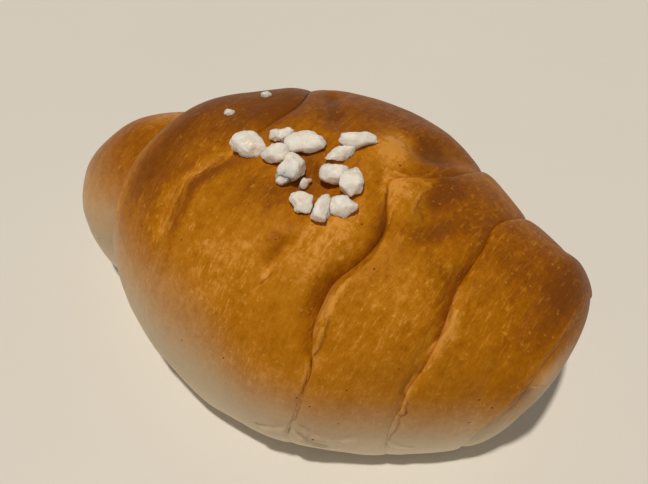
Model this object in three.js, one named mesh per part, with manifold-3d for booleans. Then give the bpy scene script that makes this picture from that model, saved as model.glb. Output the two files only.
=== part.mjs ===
// A salt bread roll: a strip of dough wound from the middle outwards, baked with a brown crust,
// with coarse white salt crystals on its crown.
//
// Millimetres, +Z up. The roll lies along X and stands on the plane z = 0. The side that shows
// faces -Y. Along the roll the crust is a row of bands, and each crease between two bands is a
// closed ring. A ring is followed by an angle in degrees: 0 at the crown, 90 at the back (+Y),
// -90 at the front (-Y) and 180 at the base.

import * as THREE from 'three';
import { mergeVertices } from 'three/addons/utils/BufferGeometryUtils.js';
import Module from 'manifold-3d';

// ---------------------------------------------------------------- driving dimensions

const LEFT_END = -69.8; // tip of the small lobe, measured from the middle of the body
const RIGHT_END = 62.8; // tip of the other end
const BODY_REACH = RIGHT_END; // half length of the wrapped body, without the lobe

const MIDDLE_HALF_WIDTH = 45.2;
const END_HALF_WIDTH = 24.3;
const MIDDLE_HEIGHT = 58.8;
const END_HEIGHT = 47.3;
const SWELL_MIDDLE = -0.7; // where the roll is thickest
const SWELL_REACH = 51.4; // how far from the middle the roll has thinned to its end size
const HEIGHT_FALL = 1.06; // above 1 the crown falls away faster than the sides
const MIDDLE_WAIST = 22.1; // height of the widest line of a section
const END_WAIST = 16.5;
const AXIS_HEIGHT = 20; // creases and relief are measured to and from the roll's axis
const WAIST_TO_UNDERSIDE = 27.5; // deeper than the waist is high, so the base is cut flat
const RIGHT_END_LIFT = 1.6;
const RIGHT_END_UNDERCUT = 4.4; // how far the foot of the right end stands back
const LEFT_BEND = -4.2; // sideways drift of the ends, like a crescent
const RIGHT_BEND = 3.9;
const CROWN_ROUNDNESS = 2.1; // 2 is an ellipse, more is squarer
const UNDERSIDE_ROUNDNESS = 3.2;
const CAP_START = 42; // from here on the body closes towards its tip
const CAP_FULLNESS = 3.4;
const CAP_ROUNDNESS = 3.1;

const LOBE_HALF_WIDTH = 22.9;
const LOBE_HEIGHT = 42.6;
const LOBE_WAIST = 22.1;
const LOBE_TO_UNDERSIDE = 26.2;
const LOBE_CAP_START = 44.6;
const LOBE_BEND = -2.3;

const CLEARANCE = 0.3; // air between two pieces that touch

// Creases, each as [angle, place along the roll] and [angle, depth].
const CREASES = [
  { // where the left lobe goes under the body's shoulder
    place: [[-180, -41.5], [-90, -44.5], [-60, -45.2], [0, -45.2], [60, -43.7], [120, -42]],
    depth: [[-180, 1], [-60, 1.6], [60, 1.6]],
    wander: 0.25,
  },
  { // left edge of the middle wrap, which fades out down the front
    place: [[-180, -27], [-110, -24], [-80, -22.5], [-62, -22.8], [-49, -24.3], [-40, -26],
      [-30, -26.9], [-20, -24.4], [-14, -21], [-4, -19.6], [4, -18.4], [14, -17.6], [24, -19],
      [40, -22.6], [90, -26]],
    depth: [[-180, 0.2], [-110, 0], [-75, 0.1], [-52, 0.6], [-38, 2.2], [-20, 2.2], [0, 2.2],
      [20, 2.4], [60, 1.5], [120, 1]],
    wander: 0.15,
  },
  { // right edge of the middle wrap, which jumps to the right just behind the crown
    place: [[-180, 18], [-97, 17.5], [-87, 18.7], [-77, 19.3], [-68, 19.6], [-60, 19.2],
      [-54, 17.8], [-48, 16.2], [-40, 15.4], [-33, 15.5], [-27, 16.9], [-20, 18.4], [-14, 18.8],
      [-8, 17.9], [-1, 14.9], [4, 13.3], [9, 16], [15, 19.2], [24, 22.4], [42, 24.1], [90, 22]],
    depth: [[-180, 0.8], [-97, 0.9], [-80, 1.2], [-66, 1.6], [-56, 2.6], [-42, 4.4], [-18, 4],
      [-4, 2.2], [5, 2.2], [20, 2.4], [42, 1.6], [90, 1.8]],
    wander: 0.15,
  },
  { // left edge of the right end
    place: [[-180, 36], [-97, 36.6], [-84, 36.6], [-71, 37.4], [-64, 37.1], [-51, 38.2],
      [-37, 38.1], [-20, 36.8], [-8, 36.7], [1, 36.8], [16, 36.1], [34, 38.1], [60, 39],
      [110, 37.5]],
    depth: [[-180, 0.8], [-97, 0.8], [-80, 1.2], [-62, 2.2], [-40, 3.6], [-20, 4], [-4, 2.8],
      [16, 2.4], [40, 2.2], [90, 2]],
    wander: 0.15,
  },
  { // edge of the right end over the core of the roll
    place: [[-180, 50], [-115, 52], [-99, 53], [-81, 55], [-67, 56.4], [-52, 57.3], [-26, 58.6],
      [0, 59.4], [48, 59.8], [80, 58], [120, 53]],
    depth: [[-180, 0.6], [-98, 0.7], [-82, 1.3], [-60, 1.6], [-20, 0.9], [10, 0.5], [60, 0.4]],
    wander: 0.15,
  },
];

// Bands between the creases. A rim is how the band turns down into a crease: the width that the
// turn takes, how soon it is full, how round it is and how far it leans over the crease.
const WIDEST_RIM = 0.7; // of its band
const BANDS = [
  { columns: 9, right: { width: 6, full: 2, round: 1.2, lean: 0 } },
  { columns: 8,
    left: { width: 9, full: 2, round: 2, lean: 1.2 },
    right: { width: 6, full: 2, round: 1.4, lean: 0 } },
  { columns: 13,
    left: { width: 7, full: 2.2, round: 1.5, lean: 0.3 },
    right: { width: 10, full: 2.2, round: 1.2, lean: 0.4 } },
  { columns: 9,
    left: { width: 4.5, full: 2, round: 1.7, lean: 0 },
    right: { width: 10, full: 2.2, round: 1.35, lean: 0.5 } },
  { columns: 9,
    left: { width: 4.5, full: 2, round: 1.7, lean: 0 },
    right: { width: 6, full: 2, round: 1.7, lean: 0.4 } },
  { columns: 4, left: { width: 3, full: 2, round: 1.5, lean: 0 } },
];

// How far the core stands back inside the right end's edge: a flap of dough covers its top and
// ends in a small lip low at the front.
const CORE_INSET = [[-180, 2], [-125, 1.6], [-105, 0.6], [-85, 2.4], [-68, 2.2], [-55, 1.8], [-46, 0.6],
  [-10, 0.4], [60, 0.3], [120, 1]];

const ROWS_OVER = 80; // rows of facets round the part that shows
const ROWS_UNDER = 5; // and across the flat base
const BASE_ANGLE = 146; // degrees from the crown to where the base begins

// Dents (negative) and swellings (positive) of the crown, as rounds of [x, y].
const ROUNDS = [
  { at: [1.5, -7], reach: [13, 11], turn: 0, steep: 1, height: -1.2 }, // hollow under the salt
  { at: [9.6, 8.6], reach: [4.6, 6], turn: -30, steep: 1.3, height: 1.8 }, // smooth blister
  { at: [16.5, 20.5], reach: [4, 11], turn: -28, steep: 1.2, height: -2.4 }, // dent behind it
];
const PIT = { at: [1.2, -7.3], reach: [5.4, 6.4], steep: 1.5, height: -3.8 };

// Folds and wrinkles of the crown, each along a path of [x, y].
const FOLDS = [
  { path: [[8.5, -17.5], [4.6, -23], [3.7, -26.5], [4, -31.5]], width: 1.7, height: -1.1 },
  { path: [[8, -24.5], [6.4, -28], [6.6, -31.5]], width: 1.3, height: 0.35 },
  { path: [[-16, 27], [-13, 21], [-8, 13], [-4, 6]], width: 2.4, height: -1.5 },
  { path: [[-8.5, 18], [-4, 11.5], [-1.5, 6]], width: 1.8, height: -0.6 },
  { path: [[9.8, 9.5], [11, 5.5], [12.3, 1.5], [14.8, -1]], width: 1.1, height: -0.7 },
  { path: [[20.2, 14], [22, 7], [24, 1.5], [27, -3], [29.5, -7.5]], width: 3, height: -1.8 },
  { path: [[19, 3.5], [21.5, -4], [24, -13]], width: 3.6, height: 0.7 },
  { path: [[13, -6], [13.5, -14], [12, -22], [10.5, -30]], width: 4.5, height: 0.8 },
  { path: [[-33, -24], [-35, -14], [-33, -2]], width: 4, height: -0.5 },
  { path: [[19, -12], [17.4, -17.5], [15.6, -22.5], [15, -27], [16.2, -31.5]], width: 2.2, height: -0.7 },
  { path: [[20.4, -15], [18.8, -20], [17.6, -25], [18.2, -29.5], [19.6, -33]], width: 1.1, height: 0.6 },
  { path: [[35.2, 3], [35.4, -6], [35.9, -13], [36, -20]], width: 2.2, height: -0.6 },
  { path: [[38.8, -8], [39.6, -14], [39.4, -19], [39, -25]], width: 1.3, height: 0.6 },
  { path: [[13.2, 3], [14.2, -1], [15.8, -5]], width: 1.1, height: 0.5 },
];

// Long soft waves of the whole crust: waves per mm along it, turns round it, and height.
const WAVES = [
  { along: 0.11, shift: 1.3, turns: 2, phase: 0.7, height: 0.45 },
  { along: 0.17, shift: -1, turns: 3, phase: -0.4, height: 0.35 },
  { along: 0.31, shift: 0.4, turns: 5, phase: 1.9, height: 0.22 },
];

// Salt crystals, each of one or two lumps: its middle, how high that lies over the crust, its
// length, width and height, the turn of its length from +X in degrees, and how much it thins
// towards its far end. The ones in front come first, since the later ones are cut clear of them.
const CRYSTALS = [
  [{ at: [-5.1, -7.2], over: 1.9, size: [6.8, 6.8, 5.8], turn: 30, thin: 0.1, seed: 59 },
    { at: [-5.1, -9.3], over: 1, size: [5.8, 4.8, 4], turn: 50, thin: 0, seed: 61 }],
  [{ at: [7.9, -3.8], over: 1.6, size: [9.4, 5.4, 5], turn: 112, thin: 0.4, seed: 97 }],
  [{ at: [9.9, -10.2], over: 1.5, size: [6.7, 4.9, 4.6], turn: 22, thin: 0, seed: 139 }],
  [{ at: [2.6, -2.9], over: 1.9, size: [7.2, 6.6, 5.4], turn: 36, thin: 0.1, seed: 83 }],
  [{ at: [6.8, -13.3], over: 1.4, size: [8.2, 4.4, 4.2], turn: 106, thin: 0.3, seed: 127 }],
  [{ at: [2.2, -13.8], over: 1.5, size: [5.8, 5.2, 4.5], turn: 20, thin: 0, seed: 109 }],
  [{ at: [-9.8, -6.6], over: 1.5, size: [8, 5.4, 4.6], turn: 50, thin: -0.1, seed: 41 }],
  [{ at: [-16.6, -6.9], over: 1.6, size: [9.6, 6.6, 5], turn: 14, thin: 0.2, seed: 11 }],
  [{ at: [-5.7, -0.2], over: 1.6, size: [9.9, 5.8, 5], turn: 42, thin: 0.15, seed: 37 }],
  [{ at: [-12.1, -1.5], over: 1.3, size: [6.6, 4.5, 4], turn: 20, thin: 0, seed: 23 }],
  [{ at: [3.3, 6], over: 1.3, size: [9, 4.2, 4], turn: 33, thin: 0.25, seed: 73 }],
  [{ at: [1.5, 0.6], over: 1, size: [8.4, 3.2, 3], turn: 66, thin: -0.45, seed: 79 }],
];
const CHIPS = [
  { at: [-1.7, -7.2], over: 0.9, size: [3.7, 2.8, 3], turn: 70, thin: 0, seed: 149 },
  { at: [-29.8, 2.1], over: 0.4, size: [2.9, 2.4, 1.9], turn: 30, thin: 0, seed: 151 },
  { at: [-26.8, 12.6], over: 0.4, size: [3.4, 2.4, 1.9], turn: 35, thin: 0, seed: 157 },
];
const CRYSTAL_FACETS = 16; // planes that bound one lump
const CRYSTAL_DETAIL = 2; // subdivision of the ball that a lump is cut from

// ---------------------------------------------------------------- helpers

const DEGREE = Math.PI / 180;

const clamp = (x) => Math.min(Math.max(x, 0), 1);

function smooth(from, to, x) {
  const t = clamp((x - from) / (to - from));
  return t * t * (3 - 2 * t);
}

// A closed smooth curve through [angle, value] pairs, as a function of the angle in radians.
function closedCurve(pairs) {
  const angles = pairs.map(([angle]) => angle * DEGREE);
  const values = pairs.map(([, value]) => value);
  const count = pairs.length;
  const turn = 2 * Math.PI;
  const wrap = (i) => ((i % count) + count) % count;
  const angleAt = (i) => angles[wrap(i)] + turn * Math.floor(i / count);
  const slopeAt = (i) => (values[wrap(i + 1)] - values[wrap(i - 1)])
    / (angleAt(i + 1) - angleAt(i - 1));
  return (theta) => {
    const angle = theta - turn * Math.floor((theta - angles[0]) / turn);
    let i = 0;
    while (angleAt(i + 1) <= angle) {
      i += 1;
    }
    const step = angleAt(i + 1) - angleAt(i);
    const t = (angle - angleAt(i)) / step;
    return values[i] * (1 + 2 * t) * (1 - t) ** 2
      + values[wrap(i + 1)] * t * t * (3 - 2 * t)
      + step * t * (1 - t) * (slopeAt(i) * (1 - t) - slopeAt(i + 1) * t);
  };
}

// A small uneven wave round a crease, so that no crease is a clean curve.
const wander = (theta, phase, size) => size * (0.6 * Math.sin(3 * theta + phase)
  + 0.4 * Math.sin(7 * theta + 2.1 * phase) + 0.25 * Math.sin(13 * theta + 3.7 * phase));

function seededRandom(seed) {
  let state = seed;
  return () => {
    state = (state * 16807) % 2147483647;
    return state / 2147483647;
  };
}

// ---------------------------------------------------------------- outline of the roll

// Sideways place of the roll's own axis.
function axisSide(x) {
  const out = Math.abs(x) / BODY_REACH;
  if (x > 0) {
    return RIGHT_BEND * smooth(0.25, 1, out);
  }
  return LEFT_BEND * smooth(0.25, 1, out) + LOBE_BEND * smooth(0.6, 0.95, out);
}

// A point of a rounded section at the angle theta: an oval above the waist, a squarer one below.
function sectionPoint(x, halfWidth, top, waist, underside, theta) {
  const c = Math.cos(theta);
  const s = Math.sin(theta);
  const power = 2 / (c > 0 ? CROWN_ROUNDNESS : UNDERSIDE_ROUNDNESS);
  const rise = c > 0 ? top - waist : underside;
  return new THREE.Vector3(
    x,
    axisSide(x) + halfWidth * Math.sign(s) * Math.abs(s) ** power,
    waist + rise * Math.sign(c) * Math.abs(c) ** power,
  );
}

// The wrapped body as if it had no creases.
function bodyPoint(x, theta) {
  const swell = Math.max(Math.cos(0.5 * Math.PI * clamp(Math.abs(x - SWELL_MIDDLE) / SWELL_REACH)), 0);
  const outward = clamp((Math.abs(x) - CAP_START) / (BODY_REACH - CAP_START));
  const cap = (1 - outward ** CAP_FULLNESS) ** (1 / CAP_ROUNDNESS);
  const halfWidth = END_HALF_WIDTH + (MIDDLE_HALF_WIDTH - END_HALF_WIDTH) * swell;
  const top = END_HEIGHT + (MIDDLE_HEIGHT - END_HEIGHT) * swell ** HEIGHT_FALL;
  const waist = END_WAIST + (MIDDLE_WAIST - END_WAIST) * swell;
  const underside = WAIST_TO_UNDERSIDE * (0.72 + 0.28 * swell) * cap;
  const point = sectionPoint(
    x, halfWidth * cap, waist + (top - waist) * cap, waist, underside, theta);
  point.z += RIGHT_END_LIFT * smooth(0.55, 1, x / BODY_REACH);
  point.x -= RIGHT_END_UNDERCUT * smooth(0.7, 1, x / BODY_REACH) * smooth(36, 6, point.z);
  return point;
}

// The small lobe at the left end.
function lobePoint(x, theta) {
  const outward = clamp((LOBE_CAP_START + x) / (LOBE_CAP_START + LEFT_END));
  const cap = Math.sqrt(1 - outward ** 2);
  const top = LOBE_WAIST + (LOBE_HEIGHT - LOBE_WAIST) * cap;
  return sectionPoint(
    x, LOBE_HALF_WIDTH * cap, top, LOBE_WAIST, LOBE_TO_UNDERSIDE * cap, theta);
}

// Unit direction from the roll's axis through a point, across the roll.
function awayFromAxis(point) {
  return new THREE.Vector3(0, point.y - axisSide(point.x), point.z - AXIS_HEIGHT).normalize();
}

// ---------------------------------------------------------------- creases and bands

const creases = CREASES.map(({ place, depth, wander: size }, index) => {
  const placeAt = closedCurve(place);
  const depthAt = closedCurve(depth);
  const outline = index === 0 ? lobePoint : bodyPoint;
  return (theta) => {
    const x = placeAt(theta) + wander(theta, index + 1, size);
    const point = outline(x, theta);
    return point.addScaledVector(awayFromAxis(point), -depthAt(theta));
  };
});

// How far a rim has risen out of its crease, from 0 at the crease to 1 at the outline.
const rimRise = (t, rim) => (1 - (1 - clamp(t)) ** rim.full) ** (1 / rim.round);

// The point of a band at a share (0 to 1) of its way along the roll.
function bandPoint(index, share, theta) {
  const band = BANDS[index];
  const before = band.left ? creases[index - 1](theta) : null;
  const after = band.right ? creases[index](theta) : null;
  const from = before ? before.x : LEFT_END;
  const to = after ? after.x : RIGHT_END;
  const x = from + (to - from) * share;
  const outline = index === 0 ? lobePoint(x, theta) : bodyPoint(x, theta);
  const point = outline.clone();
  const rims = [[band.left, before, x - from, -1], [band.right, after, to - x, 1]];
  for (const [rim, crease, distance, side] of rims.filter(([rim]) => rim)) {
    const width = Math.min(rim.width, WIDEST_RIM * (to - from));
    const risen = rimRise(distance / width, rim);
    point.addScaledVector(crease.clone().sub(outline), 1 - risen);
    point.x += side * rim.lean * 4 * risen * (1 - risen);
  }
  return point;
}

// ---------------------------------------------------------------- relief of the crust

function roundHeight({ at, reach, turn, steep, height }, x, y) {
  const c = Math.cos(turn * DEGREE);
  const s = Math.sin(turn * DEGREE);
  const u = ((x - at[0]) * c + (y - at[1]) * s) / reach[0];
  const v = (-(x - at[0]) * s + (y - at[1]) * c) / reach[1];
  return height * Math.exp(-((u * u + v * v) ** steep));
}

// The pit's edge is ragged: its reach changes with the direction.
function pitHeight(x, y) {
  const u = x - PIT.at[0];
  const v = y - PIT.at[1];
  const angle = Math.atan2(v, u);
  const ragged = 1 + 0.16 * Math.sin(2 * angle + 0.6) + 0.12 * Math.sin(3 * angle - 1)
    + 0.07 * Math.sin(5 * angle + 2);
  const distance = (u / PIT.reach[0]) ** 2 + (v / PIT.reach[1]) ** 2;
  return PIT.height * Math.exp(-(distance ** PIT.steep) / ragged ** 3);
}

// A fold is deepest along its path and fades towards both of its ends.
function foldHeight({ path, width, height }, x, y) {
  let nearest = Infinity;
  let along = 0;
  for (let i = 0; i + 1 < path.length; i += 1) {
    const [x0, y0] = path[i];
    const dx = path[i + 1][0] - x0;
    const dy = path[i + 1][1] - y0;
    const t = clamp(((x - x0) * dx + (y - y0) * dy) / (dx * dx + dy * dy));
    const distance = Math.hypot(x - x0 - t * dx, y - y0 - t * dy);
    if (distance < nearest) {
      nearest = distance;
      along = (i + t) / (path.length - 1);
    }
  }
  return height * Math.exp(-((nearest / width) ** 2)) * smooth(0, 0.3, along)
    * smooth(1, 0.7, along);
}

function reliefHeight(point, theta) {
  const { x, y } = point;
  let height = 0;
  for (const wave of WAVES) {
    height += wave.height * Math.sin(wave.along * x + wave.shift)
      * Math.sin(wave.turns * theta + wave.phase);
  }
  const upper = smooth(20, 34, point.z);
  height += upper * pitHeight(x, y);
  for (const round of ROUNDS) {
    height += upper * roundHeight(round, x, y);
  }
  for (const fold of FOLDS) {
    height += upper * foldHeight(fold, x, y);
  }
  return height;
}

// ---------------------------------------------------------------- crust

// Angles of the rows, close together where the crust shows and wide apart under the base.
function rowAngles() {
  const angles = [];
  for (let i = 0; i < ROWS_OVER; i += 1) {
    angles.push((-1 + (2 * i) / ROWS_OVER) * BASE_ANGLE * DEGREE);
  }
  const under = 360 - 2 * BASE_ANGLE;
  for (let i = 0; i < ROWS_UNDER; i += 1) {
    angles.push((BASE_ANGLE + (under * i) / ROWS_UNDER) * DEGREE);
  }
  return angles;
}

// Shares of a band's length where its columns stand, closest together at its creases.
function columnShares(index) {
  const { columns } = BANDS[index];
  const shares = [];
  for (let i = 0; i < columns; i += 1) {
    const t = i / columns;
    if (index === 0) {
      shares.push(1 - Math.cos(0.5 * Math.PI * t));
    } else if (index === BANDS.length - 1) {
      shares.push(Math.sin(0.5 * Math.PI * t));
    } else {
      shares.push(0.5 - 0.5 * Math.cos(Math.PI * t));
    }
  }
  return shares;
}

// The whole crust as a closed mesh, grown by `proud`. It reaches below z = 0.
function crustGeometry(proud) {
  const angles = rowAngles();
  const coreInset = closedCurve(CORE_INSET);
  const rows = angles.length;
  const rings = [];
  BANDS.forEach((band, index) => {
    for (const share of columnShares(index)) {
      rings.push(angles.map((theta) => {
        const point = bandPoint(index, share, theta);
        let relief = reliefHeight(point, theta);
        if (index === 0) {
          relief *= smooth(0, 0.25, share);
        } else if (index === BANDS.length - 1) {
          relief = relief * smooth(1, 0.3, share)
            - coreInset(theta) * smooth(0, 0.2, share) * smooth(1, 0.7, share);
        }
        return point.addScaledVector(awayFromAxis(point), relief + proud);
      }));
    }
  });
  rings.shift();
  const leftTip = lobePoint(LEFT_END - proud, 0);
  const rightTip = bodyPoint(RIGHT_END, 0).add(new THREE.Vector3(proud, 0, 0));
  const positions = [...rings.flat(), leftTip, rightTip].flatMap((p) => p.toArray());
  const triangles = [];
  const vertex = (ring, row) => ring * rows + (row % rows);
  const last = rings.length - 1;
  const leftVertex = rings.length * rows;
  for (let row = 0; row < rows; row += 1) {
    triangles.push(leftVertex, vertex(0, row), vertex(0, row + 1));
    triangles.push(leftVertex + 1, vertex(last, row + 1), vertex(last, row));
    for (let ring = 0; ring < last; ring += 1) {
      const a = vertex(ring, row);
      const b = vertex(ring + 1, row);
      const c = vertex(ring + 1, row + 1);
      const d = vertex(ring, row + 1);
      triangles.push(a, b, c, a, c, d);
    }
  }
  const geometry = new THREE.BufferGeometry();
  geometry.setAttribute('position', new THREE.Float32BufferAttribute(positions, 3));
  geometry.setIndex(triangles);
  return geometry;
}

// ---------------------------------------------------------------- salt

const bareCrust = new THREE.Mesh(crustGeometry(0));
const plumb = new THREE.Raycaster();

// Height of the crust under a point of the crown.
function crustHeight(x, y) {
  plumb.set(new THREE.Vector3(x, y, 2 * MIDDLE_HEIGHT), new THREE.Vector3(0, 0, -1));
  return plumb.intersectObject(bareCrust)[0].point.z;
}

// A lump is a ball cut by planes at seeded directions and distances, then stretched to its size.
function lumpGeometry({ at, over, size, turn, thin, seed }, proud) {
  const random = seededRandom(seed);
  const planes = [];
  for (let i = 0; i < CRYSTAL_FACETS; i += 1) {
    const z = 1 - (2 * (i + 0.5)) / CRYSTAL_FACETS + 0.16 * (random() - 0.5);
    const angle = i * 2.4 + 1.1 * (random() - 0.5);
    const across = Math.sqrt(Math.max(1 - z * z, 0));
    planes.push({
      normal: new THREE.Vector3(across * Math.cos(angle), across * Math.sin(angle), z),
      distance: 0.74 + 0.24 * random(),
    });
  }
  const geometry = new THREE.IcosahedronGeometry(1, CRYSTAL_DETAIL);
  const position = geometry.attributes.position;
  const direction = new THREE.Vector3();
  const axis = new THREE.Vector3(0, 0, 1);
  const middle = new THREE.Vector3(...at, crustHeight(...at) + over);
  for (let i = 0; i < position.count; i += 1) {
    direction.fromBufferAttribute(position, i).normalize();
    let radius = 1;
    for (const plane of planes) {
      const facing = direction.dot(plane.normal);
      if (facing > 0) {
        radius = Math.min(radius, plane.distance / facing);
      }
    }
    const point = direction.clone().multiplyScalar(radius);
    const girth = 1 - thin * point.x;
    point.multiply(new THREE.Vector3(1, girth, girth));
    point.multiply(new THREE.Vector3(...size).multiplyScalar(0.5).addScalar(proud));
    point.applyAxisAngle(axis, turn * DEGREE).add(middle);
    position.setXYZ(i, point.x, point.y, point.z);
  }
  return geometry;
}

// ---------------------------------------------------------------- joining and cutting

const wasm = await Module();
wasm.setup();

function toSolid(geometry) {
  const bare = geometry.clone();
  bare.deleteAttribute('normal');
  bare.deleteAttribute('uv');
  const welded = mergeVertices(bare, 1e-4);
  return new wasm.Manifold(new wasm.Mesh({
    numProp: 3,
    vertProperties: new Float32Array(welded.attributes.position.array),
    triVerts: new Uint32Array(welded.index.array),
  }));
}

function toGeometry(solid) {
  const { vertProperties, triVerts } = solid.getMesh();
  const geometry = new THREE.BufferGeometry();
  geometry.setAttribute('position', new THREE.BufferAttribute(vertProperties, 3));
  geometry.setIndex(new THREE.BufferAttribute(triVerts, 1));
  return geometry;
}

const joinLumps = (lumps, proud) => lumps
  .map((lump) => toSolid(lumpGeometry(lump, proud)))
  .reduce((whole, lump) => whole.add(lump));

// The crust grown by `proud`, with the smallest chips of salt baked onto it.
const crustWithChips = (proud) => toSolid(crustGeometry(proud)).add(joinLumps(CHIPS, proud));

function makeBread() {
  const below = new THREE.BoxGeometry(400, 400, 100).translate(0, 0, -50);
  return toGeometry(crustWithChips(0).subtract(toSolid(below)));
}

// Every crystal is cut clear of the crust and of the crystals placed before it.
function makeCrystals() {
  let taken = crustWithChips(CLEARANCE);
  return CRYSTALS.map((lumps) => {
    const crystal = joinLumps(lumps, 0).subtract(taken);
    taken = taken.add(joinLumps(lumps, CLEARANCE));
    return toGeometry(crystal);
  });
}

// ---------------------------------------------------------------- the roll

const CRUST_FINISH = { color: 0xb5752c, roughness: 0.55, metalness: 0 };
const SALT_FINISH = { color: 0xf1e8e0, roughness: 0.5, metalness: 0 };

function namedMesh(name, geometry, finish) {
  geometry.computeVertexNormals();
  const mesh = new THREE.Mesh(geometry, new THREE.MeshStandardMaterial(finish));
  mesh.name = name;
  return mesh;
}

const group = new THREE.Group();
const bread = namedMesh('bread', makeBread(), CRUST_FINISH);
group.add(bread);
makeCrystals().forEach((geometry, index) => {
  const name = `salt_crystal_${String(index + 1).padStart(2, '0')}`;
  group.add(namedMesh(name, geometry, SALT_FINISH));
});

// The middle of the roll's own box stands on the origin.
const middle = new THREE.Box3().setFromObject(bread).getCenter(new THREE.Vector3());
group.position.set(-middle.x, -middle.y, 0);

export default group;
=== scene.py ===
import math

import bpy
import numpy as np
from bpy.props import FloatProperty, FloatVectorProperty, IntProperty, PointerProperty
from bpy.types import Operator, Panel, PropertyGroup
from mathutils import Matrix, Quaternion, Vector
from mathutils.bvhtree import BVHTree


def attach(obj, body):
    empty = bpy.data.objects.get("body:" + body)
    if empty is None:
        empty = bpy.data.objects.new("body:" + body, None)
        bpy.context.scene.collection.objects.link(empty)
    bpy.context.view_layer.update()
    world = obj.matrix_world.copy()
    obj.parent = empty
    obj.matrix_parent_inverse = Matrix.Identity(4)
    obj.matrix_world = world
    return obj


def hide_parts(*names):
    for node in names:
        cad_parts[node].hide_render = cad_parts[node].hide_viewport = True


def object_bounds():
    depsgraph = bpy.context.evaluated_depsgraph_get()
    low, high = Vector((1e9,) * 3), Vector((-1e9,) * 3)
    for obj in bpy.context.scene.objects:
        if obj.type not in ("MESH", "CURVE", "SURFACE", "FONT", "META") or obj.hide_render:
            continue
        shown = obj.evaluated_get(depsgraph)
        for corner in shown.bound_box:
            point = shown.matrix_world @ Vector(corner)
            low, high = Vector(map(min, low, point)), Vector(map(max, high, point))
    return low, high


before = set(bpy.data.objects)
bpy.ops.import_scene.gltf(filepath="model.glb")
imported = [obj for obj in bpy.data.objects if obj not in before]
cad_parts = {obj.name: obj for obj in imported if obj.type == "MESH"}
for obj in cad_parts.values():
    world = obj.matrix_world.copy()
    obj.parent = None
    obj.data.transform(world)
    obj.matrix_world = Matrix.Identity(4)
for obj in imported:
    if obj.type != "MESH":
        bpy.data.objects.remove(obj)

bl_info = {
    "name": "Salt bread roll",
    "version": (1, 0, 0),
    "blender": (4, 5, 0),
    "location": "3D View > Sidebar > Bakery",
    "description": "Dresses a packed salt bread roll: baked crust, salt crystals and a table top",
    "category": "Object",
}

MM = 0.001  # shapes are worked out in millimetres, objects are in metres
DEGREE = math.pi / 180
CAD_LOW, CAD_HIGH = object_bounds()
BREAD = "bread"
FLOOR_REACH = 1.5  # metres to each side
FRAME_WIDTH = 36.0  # mm across the camera's picture
NEAREST_SEEN = 0.01  # metres from the camera
TINY = 1e-9  # keeps a direction without length from being divided by 0
SALT_NODES = sorted(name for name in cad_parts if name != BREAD)

# ---------------------------------------------------------------- the roll's own form
# The crust is a row of bands along X. The crease between two bands is a closed ring, followed
# by an angle in degrees: 0 at the crown, 90 at the back, -90 at the front, 180 at the base.
# A span is where a value sets in and where it is full, as shares of the body's reach.

LEFT_END = -69.8
RIGHT_END = 62.8
BODY_REACH = RIGHT_END  # from the middle to where the body closes, on both sides
END_HALF_WIDTH = 24.3  # as the body starts to close
END_HEIGHT = 47.3
SWELL_MIDDLE = -0.7  # where the body is thickest
SWELL_REACH = 51.4
HEIGHT_FALL = 1.06  # power of the swelling for the crown's height
MIDDLE_WAIST = 22.1  # height of the widest line
END_WAIST = 16.5
AXIS_HEIGHT = 20.0  # creases and relief go towards this axis or away from it
WAIST_TO_UNDERSIDE = 27.5  # more than the waist's height: the table flattens the base
END_UNDERSIDE = 0.72  # of the depth in the middle
RIGHT_END_LIFT = 1.6
LIFT_SPAN = (0.55, 1)
RIGHT_END_UNDERCUT = 4.4  # how far its low side is drawn in
UNDERCUT_SPAN = (0.7, 1)
UNDERCUT_HEIGHTS = (36, 6)
LEFT_BEND = -4.2
RIGHT_BEND = 3.9
BEND_SPAN = (0.25, 1)
CROWN_ROUNDNESS = 2.1  # of the section: 2 is an ellipse, more is squarer
UNDERSIDE_ROUNDNESS = 3.2
CAP_START = 42.0  # where the body starts to close towards its ends
CAP_FULLNESS = 3.4  # powers of the curve in which it closes
CAP_ROUNDNESS = 3.1

LOBE_WAIST = 22.1
LOBE_TO_UNDERSIDE = 26.2
LOBE_CAP_START = 44.6
LOBE_BEND = -2.3
LOBE_BEND_SPAN = (0.6, 0.95)

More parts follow.
